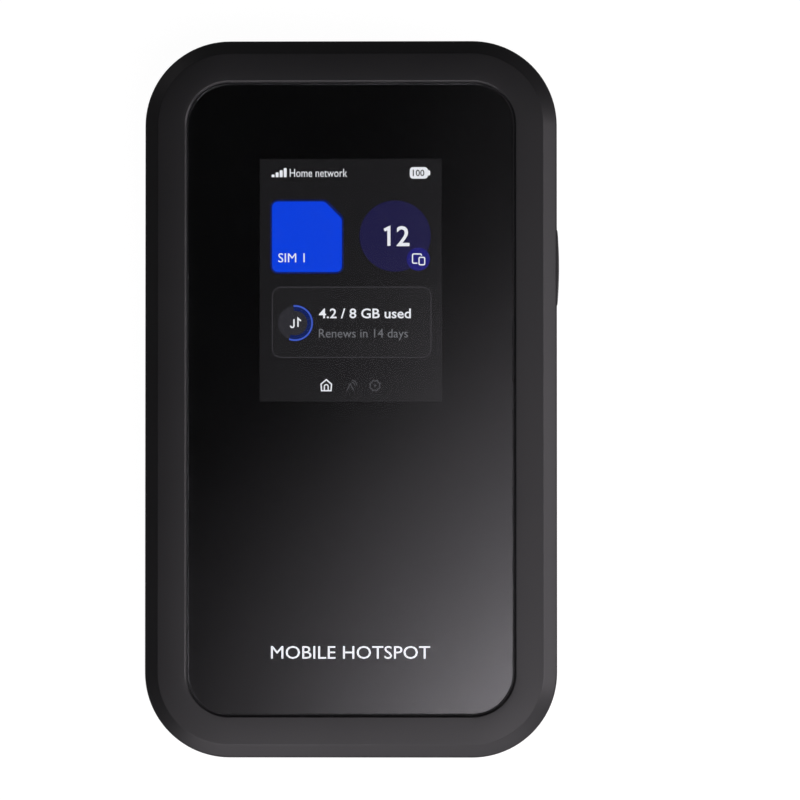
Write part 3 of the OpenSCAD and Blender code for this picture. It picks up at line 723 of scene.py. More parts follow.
def ribbon(path, width, low, high, closed=False):
    """A flat band of one width along a path of (x, y) points."""
    count = len(path)
    points = [Vector(p) for p in path]
    sides = []
    for i, here in enumerate(points):
        back = points[i - 1] if closed or i else here
        on = points[(i + 1) % count] if closed or i < count - 1 else here
        into, out = here - back, on - here
        into = into.normalized() if into.length else out.normalized()
        out = out.normalized() if out.length else into
        along = (into + out).normalized()
        across = Vector((-along.y, along.x))
        reach = width / 2 / max(0.35, across.dot(Vector((-into.y, into.x))))
        sides.append((here + across * reach, here - across * reach))
    verts = [(*side, z) for z in (low, high) for pair in sides for side in pair]
    layer = 2 * count
    faces = []
    for i in range(count if closed else count - 1):
        a, b = 2 * i, 2 * ((i + 1) % count)
        faces += [(a, b, b + 1, a + 1), (a + layer, a + 1 + layer, b + 1 + layer, b + layer),
                  (a, a + layer, b + layer, b), (a + 1, b + 1, b + 1 + layer, a + 1 + layer)]
    if not closed:
        end = 2 * (count - 1)
        faces += [(0, 1, 1 + layer, layer), (end, end + layer, end + 1 + layer, end + 1)]
    return mesh_from("ribbon", verts, faces)


def plate(loop, low, high):
    """A flat plate with any outline."""
    count = len(loop)
    verts = [(*p, z) for z in (low, high) for p in loop]
    faces = [tuple(range(count))[::-1], tuple(range(count, 2 * count))]
    faces += [(i, (i + 1) % count, (i + 1) % count + count, i + count) for i in range(count)]
    return mesh_from("plate", verts, faces)


def arc(at, radius, start, end, steps=24):
    """Points of an arc, in degrees clockwise from the top."""
    return [(at[0] + radius * math.sin(math.radians(start + (end - start) * k / steps)),
             at[1] + radius * math.cos(math.radians(start + (end - start) * k / steps)))
            for k in range(steps + 1)]


def moved(loop, at):
    return [(u + at[0], v + at[1]) for u, v in loop]


# --- The display's picture -----------------------------------------------------------------
# Places are distances from the middle of the display. Each layer lies a little above the last.

LAYER = [GLASS_Z + 0.002 + 0.018 * k for k in range(6)]
THICK = 0.014


def on_screen(x, y):
    return x, y + SCREEN_Y


def block(width, height, at, layer, radius=0.3, steps=5):
    return plate(moved(rounded(width, height, radius, steps), on_screen(*at)), LAYER[layer],
                 LAYER[layer] + THICK)


def disc(radius, at, layer):
    return block(2 * radius, 2 * radius, at, layer, radius, 16)


def line(path, width, layer, closed=False):
    return ribbon([on_screen(*p) for p in path], width, LAYER[layer], LAYER[layer] + THICK, closed)


def words(text, height, at, layer=2, **kind):
    return letters(text, height, on_screen(*at), LAYER[layer], THICK, **kind)


def signal_bars():
    heights = [0.45 + 0.36 * k for k in range(4)]
    return [block(0.5, height, (-13.08 + 0.68 * k, 17.35 + height / 2), 2, 0.1)
            for k, height in enumerate(heights)]


def battery_badge():
    return [block(3.05, 1.95, (11.5, 18.05), 2, 0.55), block(0.5, 0.9, (13.15, 18.05), 2, 0.2)]


def sim_tile(grow=0.0, layer=2):
    """A tile shaped like a SIM card, with one corner cut off."""
    right, top, low, left = -1.48 + grow, 13.24 + grow, 1.35 - grow, -13.25 - grow
    cut, radius = 2.9, 1.0 + grow
    outline = filleted([(left, low, radius), (right, low, radius), (right, top - cut, radius),
                        (right - cut, top, radius), (left, top, radius)])
    return plate([on_screen(*p) for p in outline], LAYER[layer], LAYER[layer] + THICK)


def small_screen(width, height, at, layer):
    """The outline of a tablet or a phone."""
    return line(moved(rounded(width, height, 0.2, 3), at), 0.2, layer, True)


def flagged_one(at, height, width):
    """A figure 1 with a flag, as most screen typefaces draw it."""
    x, y = at
    top = y + height - width / 2
    return [line([(x - 0.24 * height, top - 0.12 * height), (x, top), (x, y)], width, 2)]


def usage_arrows(at):
    x, y = at
    return [line([(x - 0.8, y - 0.45), (x - 0.62, y - 0.72), (x - 0.3, y - 0.72),
                  (x - 0.18, y - 0.5), (x - 0.18, y + 0.65)], 0.24, 4),
            line([(x + 1.0, y + 0.35), (x + 0.5, y + 0.8), (x + 0.5, y - 0.65)], 0.24, 4)]


def home_icon(at):
    x, y = at
    walls = [(x, y + 0.95), (x + 0.88, y + 0.2), (x + 0.8, y - 0.9), (x - 0.8, y - 0.9),
             (x - 0.88, y + 0.2)]
    door = [(x - 0.32, y - 0.85), *arc((x, y - 0.2), 0.32, -90, 90, 8), (x + 0.32, y - 0.85)]
    return [line(walls, 0.22, 2, True), line(door, 0.2, 2)]


def signal_icon(at):
    x, y = at
    return [line([(x - 0.75, y - 0.8), (x - 0.15, y + 0.35), (x + 0.45, y - 0.8)], 0.15, 2),
            line(arc((x + 0.1, y + 0.1), 0.85, 0, 90, 8), 0.15, 2),
            line(arc((x + 0.1, y + 0.1), 0.5, 0, 90, 6), 0.15, 2)]


def settings_icon(at):
    x, y = at
    teeth = []
    for k in range(16):
        reach = 0.95 if k % 2 else 0.74
        teeth.append((x + reach * math.sin(math.radians(22.5 * k)),
                      y + reach * math.cos(math.radians(22.5 * k))))
    return [line(teeth, 0.15, 2, True), disc(0.16, at, 2)]


def picture():
    """The display's picture as raised, lit shapes, one piece for each colour."""
    card_at, card = (0.175, -7.125), (26.75, 11.85)
    gauge, gauge_r = (-9.37, -7.25), 2.88
    phone = (12.0, 3.18)
    used = (-5, 200)
    parts = {
        "backdrop": ((25, 24, 25), [block(SCREEN_W, SCREEN_L, (0, 0), 0, 0.05)]),
        "card": ((31, 30, 31), [block(*card, card_at, 1, 1.5)]),
        "card_edge": ((62, 60, 63), [line(moved(rounded(*card, 1.5, 6), card_at), 0.15, 2, True)]),
        "halo": ((10, 28, 98), [sim_tile(0.3, 1)]),
        "blue": ((4, 66, 232), [sim_tile()]),
        "navy": ((29, 26, 68), [disc(6.0, (7.5, 7.4), 1)]),
        "indigo": ((31, 28, 118), [disc(1.95, (11.4, 3.5), 2), block(1.5, 1.8, phone, 4, 0.3)]),
        "dial": ((47, 46, 50), [disc(gauge_r, gauge, 2)]),
        "glow": ((17, 33, 92), [line(arc(gauge, gauge_r - 0.3, *used), 1.0, 3)]),
        "gauge": ((70, 98, 205), [line(arc(gauge, gauge_r, *used), 0.26, 4)]),
        "white": ((250, 250, 252), [
            *signal_bars(), *battery_badge(), *usage_arrows(gauge), *home_icon((-4.1, -17.75)),
            small_screen(1.5, 1.55, (11.18, 3.6), 3), small_screen(0.95, 1.25, phone, 5),
            words("Home network", 1.35, (-10.27, 17.4), width=9.7),
            words("SIM 1", 1.5, (-12.2, 3.0), layer=3),
            *flagged_one((6.45, 5.75), 3.3, 0.52),
            words("2", 3.3, (8.83, 5.75), weight=0.012, anchor="CENTER"),
            words("4.2 / 8 GB used", 1.6, (-5.35, -6.42), width=15.5, weight=0.014)]),
        "grey": ((116, 116, 119), [
            words("Renews in 14 days", 1.45, (-5.35, -9.7), width=15.0)]),
        "dim": ((84, 83, 86), [*signal_icon((0.1, -17.85)), *settings_icon((4.1, -17.8))]),
        "black": ((40, 40, 42), [
            words("100", 1.05, (11.45, 17.53), layer=3, weight=0.012, anchor="CENTER")]),
    }
    for name, (colour, meshes) in parts.items():
        piece(f"picture_{name}", joined(name, meshes), "display_glass",
              look=glowing(f"lit_{name}", colour), crease=20)


def wordmark():
    """Plain generic lettering, printed in white on the back of the window. Its ink also glows a
    little, which is painted light that makes the print look lit.
    """
    ink = moulded("white_window_ink", (0.8, 0.8, 0.8), 0.5, depth=0.02, handled=0.0)
    shader = ink.node_tree.nodes["Principled BSDF"]
    # Painted light: this white emission stands in for the light that would fall on the print
    # through the glass.
    shader.inputs["Emission Color"].default_value = (1, 1, 1, 1)
    shader.inputs["Emission Strength"].default_value = 0.8
    mark = letters("MOBILE HOTSPOT", 2.1, (0, -43.75), span("lens_mask")[1].z + 0.001, 0.012,
                   width=26.8, anchor="CENTER")
    piece("window_lettering", mark, "mask_print", look=ink, crease=20)


# --- Power button, socket and feet ---------------------------------------------------------

def power_key():
    """The button, whose face is crowned along its length, with a flange that keeps it in."""
    low, high = span("power_button")
    face = pad("power_key", BUTTON_L, BUTTON_H, BUTTON_H / 2, low.x + 0.3, high.x, 0.28, 0.05,
               "x", (0, BUTTON_AT.y, BUTTON_AT.z), steps=10, turns=5)
    flange = pad("flange", BUTTON_L + 2, BUTTON_H + 1.2, (BUTTON_H + 1.2) / 2,
                 low.x + 0.42, SIDE_X - WALL - 0.1, 0.08, 0.08, "x",
                 (0, BUTTON_AT.y, BUTTON_AT.z), steps=10)
    pusher = pad("pusher", 2, 2, 1, low.x, low.x + 0.6, 0.02, 0.15, "x",
                 (0, BUTTON_AT.y, BUTTON_AT.z))
    work = bmesh.new()
    work.from_mesh(face)
    cuts = 12
    for cut in range(-4, 5):
        everything = work.verts[:] + work.edges[:] + work.faces[:]
        bmesh.ops.bisect_plane(work, geom=everything, plane_no=(0, 1, 0),
                               plane_co=(0, (BUTTON_AT.y + cut * BUTTON_L / cuts) * MM, 0))
    for vertex in work.verts:
        out = vertex.co.x / MM - (SIDE_X - 0.2)
        along = abs(vertex.co.y / MM - BUTTON_AT.y) / (BUTTON_L / 2)
        if out > 0:
            vertex.co.x -= min(out, 0.28 * along ** 2) * MM
    work.to_mesh(face)
    work.free()
    key = carved(face, [flange, pusher], "UNION")
    piece("power_key", key, "button_plastic", ["power_button"], BUTTON)


def usb_socket():
    low, high = span("usb_shell")
    width, height = high.x - low.x, high.z - low.z
    wall, turn = 0.3, 0.12
    at = (0, 0, USB_AT.z)

    def ring(t, grow):
        inset = wall - grow
        return t, width - 2 * inset, height - 2 * inset, height / 2 - inset

    outer = [ring(high.y, wall - turn), ring(high.y - turn, wall), ring(low.y + turn, wall)]
    mouth = [ring(low.y + turn * (1 - math.sin(math.radians(a))),
                  wall / 2 + (wall / 2) * math.cos(math.radians(a))) for a in range(20, 161, 20)]
    inner = [ring(low.y + turn, 0), ring(high.y - 0.3, 0), ring(high.y - 0.25, -0.05)]
    shell = loft("usb_shell", outer + mouth + inner, "y", at, steps=10)
    piece("usb_socket_shell", shell, "socket_steel", ["usb_shell"])
    tongue_low, tongue_high = span("usb_tongue")
    tongue = pad("tongue", 6.7, 0.7, 0.3, tongue_low.y, tongue_high.y - 0.5, 0.05, 0.18, "y", at)
    collar = pad("collar", width - 2 * wall - 0.04, height - 2 * wall - 0.04,
                 height / 2 - wall - 0.02, tongue_high.y - 0.9, tongue_high.y, 0.05, 0.1, "y", at,
                 steps=10)
    piece("usb_socket_tongue", carved(tongue, [collar], "UNION"), "connector_plastic",
          ["usb_tongue"])
    pin = box_pad("pin", (-0.12, 0, -0.02), (0.12, 3.9, 0.03), 0.08, 0.01, 3)
    rows = [(0.5 * k - 2.75, tongue_low.y + 0.4, USB_AT.z + side * 0.355, 0)
            for side in (-1, 1) for k in range(12)]
    piece("usb_socket_pins", repeated(pin, rows, "gold_contact"), "gold_contact", ["usb_pins"])


def rear_shell():
    low = span("rear_cover")[0]
    floor_z = low.z + 1.2
    slope, skirt = 2.093, 1.4
    shell = rim("rear_shell", [
        (skirt, SEAM_Z, 0.08), (0, SEAM_Z, 0.2), (0, low.z + slope, SHOULDER_R * 0.5),
        (slope, low.z, 0.5), (slope + 3, low.z, 0), (slope + 3, floor_z, 0),
        (2.45, floor_z, 0.3), (skirt, floor_z + 0.95, 0.3)], "cover_plastic")
    base = pad("base", BODY_W - 2 * (slope + 2), BODY_L - 2 * (slope + 2), 8, low.z + 0.002,
               floor_z - 0.002, 0.002)
    tab = pad("tab", 0.9, 5.0, 0.2, floor_z - 0.4, SEAM_Z + 1.6, 0.3, 0.1)
    rib = pad("rib", 0.5, 4.0, 0.15, floor_z - 0.4, SEAM_Z + 0.8, 0.2, 0.1)
    tab_depth = WALL + 0.25 + 0.45
    sides = [(x * (SIDE_X - tab_depth), y, 0) for x in (-1, 1) for y in (-38, -16, 6, 34)]
    ends = [(x, y * (END_Y - tab_depth), 0, 90) for x in (-14, 14) for y in (-1, 1)]
    ribs = [(x * (SIDE_X - 3.3), y, 0) for x in (-1, 1) for y in (-27, 20, 46)]
    whole = carved(shell, [base, repeated(tab, sides + ends, "cover_plastic"),
                           repeated(rib, ribs, "cover_plastic")], "UNION")
    seats = [turned("seat", [(low.z - 1, 3.65), (low.z + 0.4, 3.65)], at=place, steps=10)
             for place in FEET]
    notch = turned("notch", [(SEAM_Z - 1, 8.5), (SEAM_Z - 0.6, 8.7), (SEAM_Z + 1, 8.9)],
                   at=(-SIDE_X - 8, -34, 0), steps=24)
    piece("rear_shell", carved(whole, [*seats, notch]), "cover_plastic", ["rear_cover"], COVER)
    foot = turned("foot", [(0.88, 3.45), (0.4, 3.5), (0.18, 3.45), (0.05, 3.25), (0.0, 2.9),
                           (0.03, 1.7)], steps=10)
    piece("rubber_feet", repeated(foot, FEET, "foot_rubber"), "foot_rubber", ["rear_feet"], COVER)


# --- Pieces that keep the CAD shape but lose its knife edges -------------------------------

def eased(node, edge, body=HOUSING, turns=2):
    """A copy of a CAD node with its edges rounded by a small radius."""
    copy = frame["nodes"][node].data.copy()
    work = bmesh.new()
    work.from_mesh(copy)
    bmesh.ops.remove_doubles(work, verts=work.verts, dist=0.002 * MM)
    bmesh.ops.dissolve_limit(work, angle_limit=math.radians(1.5), verts=work.verts,
                             edges=work.edges)
    work.to_mesh(copy)
    work.free()
    made = placed(copy)
    bevel = made.modifiers.new("eased edges", "BEVEL")
    bevel.width, bevel.segments, bevel.limit_method = edge * MM, turns, "ANGLE"
    bevel.angle_limit, bevel.use_clamp_overlap = math.radians(35), True
    piece(f"{node}_shape", evaluated(made), slot_of[node], [node], body)


def slab(node, radius, edge, foot=None):
    """A rounded slab that fills a CAD node's box."""
    low, high = span(node)
    centre = middle(node)
    return pad(node, high.x - low.x, high.y - low.y, radius, low.z, high.z, edge, foot,
               at=(centre.x, centre.y, 0))


# --- Screws --------------------------------------------------------------------------------

HEAD_R, HEAD_T, SHANK_R = 1.6, 0.8, 0.85


def screw(length):
    """A pan-head screw that points up, with a cross recess and a rolled thread."""
    rows = [(-HEAD_T, 0.55), (-HEAD_T + 0.02, 0.95), (-HEAD_T + 0.12, 1.32),
            (-HEAD_T + 0.3, HEAD_R - 0.06), (-HEAD_T + 0.42, HEAD_R), (-0.08, HEAD_R),
            (0.0, HEAD_R - 0.08), (0.002, SHANK_R - 0.05), (0.3, SHANK_R - 0.05)]
    pitch = 0.4
    for turn in range(int((length - 0.6) / pitch)):
        z = 0.35 + turn * pitch
        rows += [(z, SHANK_R - 0.16), (z + 0.14, SHANK_R), (z + 0.22, SHANK_R),
                 (z + 0.36, SHANK_R - 0.16)]
    rows += [(length - 0.2, SHANK_R - 0.2), (length, 0.3)]
    bars = [loft("bar", [(-HEAD_T - 0.1, w, l, 0.08), (-HEAD_T + 0.1, w * 0.85, l * 0.85, 0.07),
                         (-HEAD_T + 0.55, w * 0.4, l * 0.4, 0.03)], steps=2)
            for w, l in ((1.75, 0.36), (0.36, 1.75))]
    return carved(turned("screw", rows, steps=5), bars)


def screws():
    under_head = span("chassis_screws")[0].z + HEAD_T
    sets = {"chassis": (5.4, CORNER_BOSSES + SIDE_BOSSES, under_head, 17),
            "board": (2.6, BOARD_BOSSES, BOARD_LOW_Z, 31)}
    for name, (length, bosses, z, turn) in sets.items():
        places = [(x, y, z, turn * k) for k, (x, y) in enumerate(bosses)]
        piece(f"{name}_screw_set", repeated(screw(length), places, "screw_steel"), "screw_steel",
              [f"{name}_screws"])


# --- Board ---------------------------------------------------------------------------------

CANS = ["modem_shield", "processor_shield", "power_shield", "wlan_shield"]


def shield(node):
    """A drawn tinplate can with a row of vents, a pick-up spot and soldered feet."""
    low, high = span(node)
    centre, extent = (low + high) / 2, high - low
    at = (centre.x, centre.y, 0)
    can = pad(node, extent.x, extent.y, 0.8, low.z, high.z, 0.3, 0.02, at=at)
    hollow = pad("hollow", extent.x - 0.5, extent.y - 0.5, 0.6, low.z - 1, high.z - 0.2, 0.2,
                 at=at)
    vent = turned("vent", [(high.z - 1, 0.45), (high.z + 1, 0.45)], steps=3)
    pitch = 2.0
    across, along = int(extent.x / pitch) - 2, int(extent.y / pitch) - 2
    steps = [(i - (across - 1) / 2, j - (along - 1) / 2)
             for i in range(across) for j in range(along)]
    places = [(centre.x + pitch * x, centre.y + pitch * y, 0)
              for x, y in steps if max(abs(x), abs(y)) > 2.2]
    vents = repeated(vent, places, "shield_tinplate")
    notch = box_pad("notch", (-0.7, -0.6, low.z - 1), (0.7, 0.6, low.z + 0.45), 0.1, 0.01, 2)
    feet = [(centre.x + side * (extent.x / 2), centre.y + 4.5 * k, 0)
            for side in (-1, 1) for k in (-1.5, -0.5, 0.5, 1.5)]
    feet += [(centre.x + 4.5 * k, centre.y + side * (extent.y / 2), 0)
             for side in (-1, 1) for k in (-1, 0, 1)]
    notches = repeated(notch, feet, "shield_tinplate")
    return carved(can, [hollow, vents, notches])


def passives():
    """Chip capacitors and resistors on the open stretches of the board."""
    draw = random.Random(11)
    keep_out = [span(node) for node in (*CANS, "lcd_connector")]
    posts = CORNER_BOSSES + SIDE_BOSSES + BOARD_BOSSES
    places = {"ceramic": [], "resistor": [], "coil": []}
    taken = []
    while sum(map(len, places.values())) < 150:
        x = round(draw.uniform(-27, 27) * 2) / 2
        y = round(draw.uniform(-53, 53) * 2) / 2
        turn = draw.choice((0, 90))
        kind = draw.choice(("ceramic", "ceramic", "resistor", "resistor", "coil"))
        near = any(low.x - 1.4 < x < high.x + 1.4 and low.y - 1.4 < y < high.y + 1.4
                   for low, high in keep_out)
        near = near or any(math.hypot(x - a, y - b) < 3.8 for a, b in posts)
        near = near or any(math.hypot(x - a, y - b) < 2.2 for a, b in taken)
        near = near or (abs(x) < 10 and y < -46) or (abs(x) < 9.5 and y > 48)
        if not near:
            taken.append((x, y))
            places[kind].append((x, y, BOARD_TOP_Z, turn))
    return places


def chip_part(w, l, h, end):
    """A chip part lying on the board: its body and its two metal ends."""
    body = box_pad("body", (-w / 2 + end, -l / 2 + 0.02, 0.02), (w / 2 - end, l / 2 - 0.02, h),
                   0.04, 0.03, 1)
    ends = [box_pad("end", (s, -l / 2, 0), (s + end + 0.02, l / 2, h + 0.02), 0.05, 0.04, 1)
            for s in (-w / 2, w / 2 - end - 0.02)]
    return body, joined("ends", ends)


def board():
    eased("main_board", 0.06)
    base_z = span("board_chips")[0].z
    tiles = HOT_CHIPS + [((-12, -24), 7, 0.8), ((14, -26), 9, 0.9)]
    chips = []
    for (x, y), side, height in tiles:
        top = base_z + height
        tile = pad("tile", side, side, 0.3, base_z, top, 0.08, 0.02, at=(x, y, 0), steps=3)
        dot = turned("dot", [(top - 0.05, 0.35), (top + 1, 0.35)],
                     at=(x - side / 2 + 1, y + side / 2 - 1, 0), steps=3)
        chips.append(carved(tile, [dot]))
    tall = box_pad("tall", (-1, -1.6, 0), (1, 1.6, 1.1), 0.15, 0.1, 2)
    small = box_pad("small", (-0.6, -1, 0), (0.6, 1, 0.6), 0.1, 0.06, 2)
    chips.append(repeated(tall, [(x, -48, base_z) for x in (-6, -2, 2, 6)], "chip_epoxy"))
    chips.append(repeated(small, [(2.4 * k, 50, base_z) for k in range(-3, 4)], "chip_epoxy"))
    piece("board_chip_set", joined("chips", chips), "chip_epoxy", ["board_chips"])
    for node in CANS:
        piece(f"{node}_can", shield(node), "shield_tinplate", [node])
    places = passives()
    kinds = {"ceramic": (1.0, 0.5, 0.5, 0.25, "tan_ceramic"),
             "resistor": (1.0, 0.5, 0.35, 0.2, "black_resistor"),
             "coil": (1.6, 0.9, 0.8, 0.3, "grey_ferrite")}
    ends = []
    for kind, (*sizes, look) in kinds.items():
        body, caps = chip_part(*sizes)
        piece(f"board_{kind}s", repeated(body, places[kind], look), "chip_epoxy",
              look=looks[look])
        ends.append(repeated(caps, places[kind], "shield_tinplate"))
    piece("board_part_ends", joined("ends", ends), "shield_tinplate")
    foil = 0.02
    land = carved(turned("land", [(0.0, 2.2), (foil, 2.2)]),
                  [turned("hole", [(-1, 1.2), (1, 1.2)])])
    lands = [(x, y, z) for x, y in BOARD_BOSSES for z in (BOARD_TOP_Z, BOARD_LOW_Z - foil)]
    point = turned("point", [(0.0, 0.45), (foil, 0.45)], steps=3)
    points = [(-25 + 1.6 * k, -9, BOARD_TOP_Z) for k in range(8)]
    points += [(24, -4 + 1.6 * k, BOARD_TOP_Z) for k in range(6)]
    gilded = [repeated(land, lands, "gold_contact"), repeated(point, points, "gold_contact")]
    piece("board_lands", joined("lands", gilded), "gold_contact")


def heat_parts():
    low, high = span("thermal_pad")
    slabs = [pad("thermal", 14, 14, 0.4, low.z, high.z, 0.12, at=(*at, 0), steps=4)
             for at, *_ in HOT_CHIPS]
    piece("thermal_pads", joined("thermal", slabs), "thermal_rubber", ["thermal_pad"])
    low, high = span("heat_spreader")
    sheet = pad("spreader", 48, 26, 2.2, low.z, high.z, 0.12, at=(0, -27, 0))
    ribs = [box_pad("rib", (-19, y - 0.6, low.z - 1), (19, y + 0.6, low.z + 0.14), 0.6, 0.05)
            for y in (-34, -29, -24, -19)]
    piece("heat_spreader_sheet", carved(sheet, ribs), "spreader_copper", ["heat_spreader"])


# --- Switch, antennas and battery springs --------------------------------------------------

def switch():
    low, high = span("switch_body")
    centre, width, height = middle("switch_body"), high.y - low.y, high.z - low.z
    at = (0, centre.y, centre.z)
    base = pad("switch", width, height, 0.3, low.x, high.x - 0.25, 0.06, 0.06, "x", at, steps=3)
    well = turned("well", [(high.x - 1.3, 0.8), (high.x + 1, 0.8)], "x", at)
    piece("switch_base", carved(base, [well]), "connector_plastic", ["switch_body"])
    face = pad("face", width - 0.1, height - 0.1, 0.35, high.x - 0.24, high.x, 0.06, 0.02, "x",
               at, steps=3)
    rivets = [turned("rivet", [(high.x - 0.05, 0.3), (high.x + 0.02, 0.28),
                               (high.x + 0.08, 0.15)], "x", (0, centre.y + y, centre.z + z), 3)
              for y in (-2.4, 2.4) for z in (-0.9, 0.9)]
    piece("switch_face", carved(carved(face, [well]), rivets, "UNION"), "stamped_steel")
    low, high = span("switch_plunger")
    tip = turned("plunger", [(low.x, 0.65), (high.x - 0.2, 0.65), (high.x - 0.06, 0.58),
                             (high.x, 0.4)], "x", at)
    piece("switch_tip", tip, "plunger_plastic", ["switch_plunger"], BUTTON)


def meander(width, height, pitch=1.6):
    """A folded antenna track that fills a film of this width and height."""
    points, x, up = [], -width / 2, True
    while x <= width / 2 + 0.01:
        ends = (-height / 2, height / 2) if up else (height / 2, -height / 2)
        points += [(x, ends[0]), (x, ends[1])]
        x, up = x + pitch, not up
    return points


def antennas():
    for side in ("top", "left", "right"):
        eased(f"antenna_carrier_{side}", 0.25)
    for side in ("top", "bottom", "sides"):
        eased(f"antenna_flex_{side}", 0.03)
    eased("antenna_springs", 0.05)
    face_y, end_z = span("antenna_flex_top")[1].y, middle("antenna_flex_top").z
    face_x, side_z = span("antenna_flex_sides")[1].x - 0.15, middle("antenna_flex_sides").z
    films = [((x, face_y, end_z), 180, (7.4, 3.4), 0.5) for x in (-12, 0, 12)]
    films += [((x, -face_y, end_z), 0, (10.4, 3.4), 0.5) for x in (-14, 14)]
    films += [((side * face_x, y, side_z), -90 * side, (8.0, 6.0, 2.0), 0.6)
              for side in (-1, 1) for y in (-30, -17)]
    tracks = []
    for place, turn, film, width in films:
        track = ribbon(meander(*film), width, 0, 0.02)
        track.transform(Matrix.Translation(Vector(place) * MM)
                        @ Matrix.Rotation(math.radians(turn), 4, "Z")
                        @ Matrix.Rotation(math.radians(90), 4, "X"))
        tracks.append(track)
    piece("antenna_tracks", joined("tracks", tracks), "gold_contact",
          look=looks["spreader_copper"], crease=20)


def leaf_springs():
    """Bowed leaves that press on the battery's contacts."""
    high = span("battery_blades")[1]
    steps = 10
    bow = [(high.y - 0.02, high.z - 0.02)]
    for k in range(steps + 1):
        turn = math.radians(180 * k / steps)
        bow.append((high.y - 1.5 - 0.5 * math.sin(turn), high.z - 0.2 - 1.7 * k / steps))
    leaf = ribbon(bow, 0.14, -0.4, 0.4)
    leaf.transform(Matrix(((0, 0, 1, 0), (1, 0, 0, 0), (0, 1, 0, 0), (0, 0, 0, 1))))
    tidy(leaf)
    piece("battery_leaf_springs", repeated(leaf, BLADES, "gold_contact"), "gold_contact",
          ["battery_blades"])
    eased("battery_connector", 0.12)


# --- SIM card and its socket ---------------------------------------------------------------

def sim_parts():
    low, high = span("nano_sim")
    cut, radius = 1.65, 0.5
    outline = filleted([(low.x, low.y, radius), (high.x, low.y, radius), (high.x, high.y, radius),
                        (low.x + cut, high.y, 0), (low.x, high.y - cut, 0)])
    piece("sim_card_body", plate(outline, low.z, high.z), "card_plastic", ["nano_sim"], CARD)
    low, high = span("sim_pads")
    pitch = 2.54
    columns = (low.x + 1.5, high.x - 1.5)
    rows = [low.y + 1 + pitch * k for k in range(3)]
    contact = plate(rounded(3.2, 2.25, 0.5, 4), low.z, high.z)
    pads = repeated(contact, [(x, y, 0) for x in columns for y in rows], "gold_contact")
    strip = plate(moved(rounded(0.9, 7.2, 0.3, 4), (sum(columns) / 2, rows[1])), low.z, high.z)
    piece("sim_card_pads", joined("pads", [pads, strip]), "gold_contact", ["sim_pads"], CARD)
    eased("sim_socket", 0.06)
    low, high = span("sim_contacts")
    finger = ribbon([(-0.8, 0.03), (-0.5, 0.03), (-0.2, -0.02), (0.1, -0.04), (0.4, 0.0),
                     (0.8, 0.05)], 0.05, -0.35, 0.35)
    finger.transform(Matrix(((1, 0, 0, 0), (0, 0, 1, 0), (0, 1, 0, 0), (0, 0, 0, 1))))
    tidy(finger)
    places = [(x, low.y + 0.4 + pitch * k, (low.z + high.z) / 2)
              for x in (low.x + 0.8, high.x - 0.8) for k in range(3)]
    piece("sim_contact_fingers", repeated(finger, places, "gold_contact"), "gold_contact",
          ["sim_contacts"])


# --- Chassis, battery and the display's module ---------------------------------------------

def label_ink(name, node, strokes, slot, look, body=HOUSING):
    """Lines printed on a label's face, as (path, width, closed) about the label's middle."""
    low_z, centre = span(node)[0].z, middle(node)
    ink = [ribbon(moved(path, (centre.x, centre.y)), width, low_z - 0.012, low_z + 0.002, closed)
           for path, width, closed in strokes]
    piece(name, joined("ink", ink), slot, body=body, look=looks[look], crease=20)


def chassis():
    """The frame, and a label in its bay with a drawing of where the card goes."""
    eased("inner_chassis", 0.12)
    low, high = span("bay_label")
    width, length = high.x - low.x, high.y - low.y
    slip = pad("slip", width, length, 1.2, low.z, high.z - 0.01, 0.01,
               at=((low.x + high.x) / 2, (low.y + high.y) / 2, 0))
    piece("bay_label_slip", slip, "label_paper", ["bay_label"])
    card_x, tip = -8, (9.5, 0)
    card = moved([(-3.2, -4.2), (3.2, -4.2), (3.2, 4.2), (-1.4, 4.2), (-3.2, 2.4)], (card_x, 0))
    cells = [moved(rounded(1.5, 1.3, 0.3, 3), (card_x + x, y - 0.6))
             for x in (-1, 1) for y in (-1.7, 0, 1.7)]
    strokes = [(rounded(width - 2.4, length - 2.4, 0.8, 4), 0.25, True), (card, 0.35, True),
               ([(0, -3.5), (0, 3)], 0.3, False), ([(4.5, 0), tip], 0.45, False),
               ([(7.6, 1.6), tip, (7.6, -1.6)], 0.45, False)]
    strokes += [(cell, 0.2, True) for cell in cells]
    label_ink("bay_label_ink", "bay_label", strokes, "label_paper", "connector_plastic")


def battery():
    eased("battery_frame", 0.25, BATTERY)
    piece("battery_pouch", slab("battery_cell", 2.0, 1.2), "cell_foil", ["battery_cell"], BATTERY)
    low, high = span("battery_label")
    centre, width, length = middle("battery_label"), high.x - low.x, high.y - low.y
    films = [pad("film", width, length, 0.8, z, z + 0.15, 0.04, at=(centre.x, centre.y, 0))
             for z in (low.z, high.z - 0.15)]
    piece("battery_films", joined("films", films), "battery_wrap", ["battery_label"], BATTERY)
    print_y, signs_y, sign_x = centre.y, high.y - 4.5, 4.5
    rule = [(-20, 0), (20, 0)]
    bar = [(-0.9, 0), (0.9, 0)]
    strokes = [(rounded(width - 4, length - 4, 1.5, 5), 0.25, True),
               (moved(rule, (0, signs_y - 3 - print_y)), 0.25, False)]
    strokes += [(moved(bar, (x, signs_y - print_y)), 0.35, False) for x in (-sign_x, sign_x)]
    strokes.append((moved([(0, -0.9), (0, 0.9)], (-sign_x, signs_y - print_y)), 0.35, False))
    strokes += [(moved(rule, (0, low.y + 8 + 3 * k - print_y)), 0.12, False) for k in range(5)]
    label_ink("battery_label_ink", "battery_label", strokes, "battery_wrap", "card_plastic",
              BATTERY)
    low, high = span("battery_contacts")
    tongue = pad("contact", 1.6, high.z - low.z, 0.25, low.y, high.y, 0.03, 0.01, "y",
                 (0, 0, (low.z + high.z) / 2), steps=3)
    piece("battery_contact_faces", repeated(tongue, BLADES, "gold_contact"), "gold_contact",
          ["battery_contacts"], BATTERY)
    piece("battery_foam", slab("battery_pad", 0.6, 0.1, 0.02), "pad_foam", ["battery_pad"], COVER)


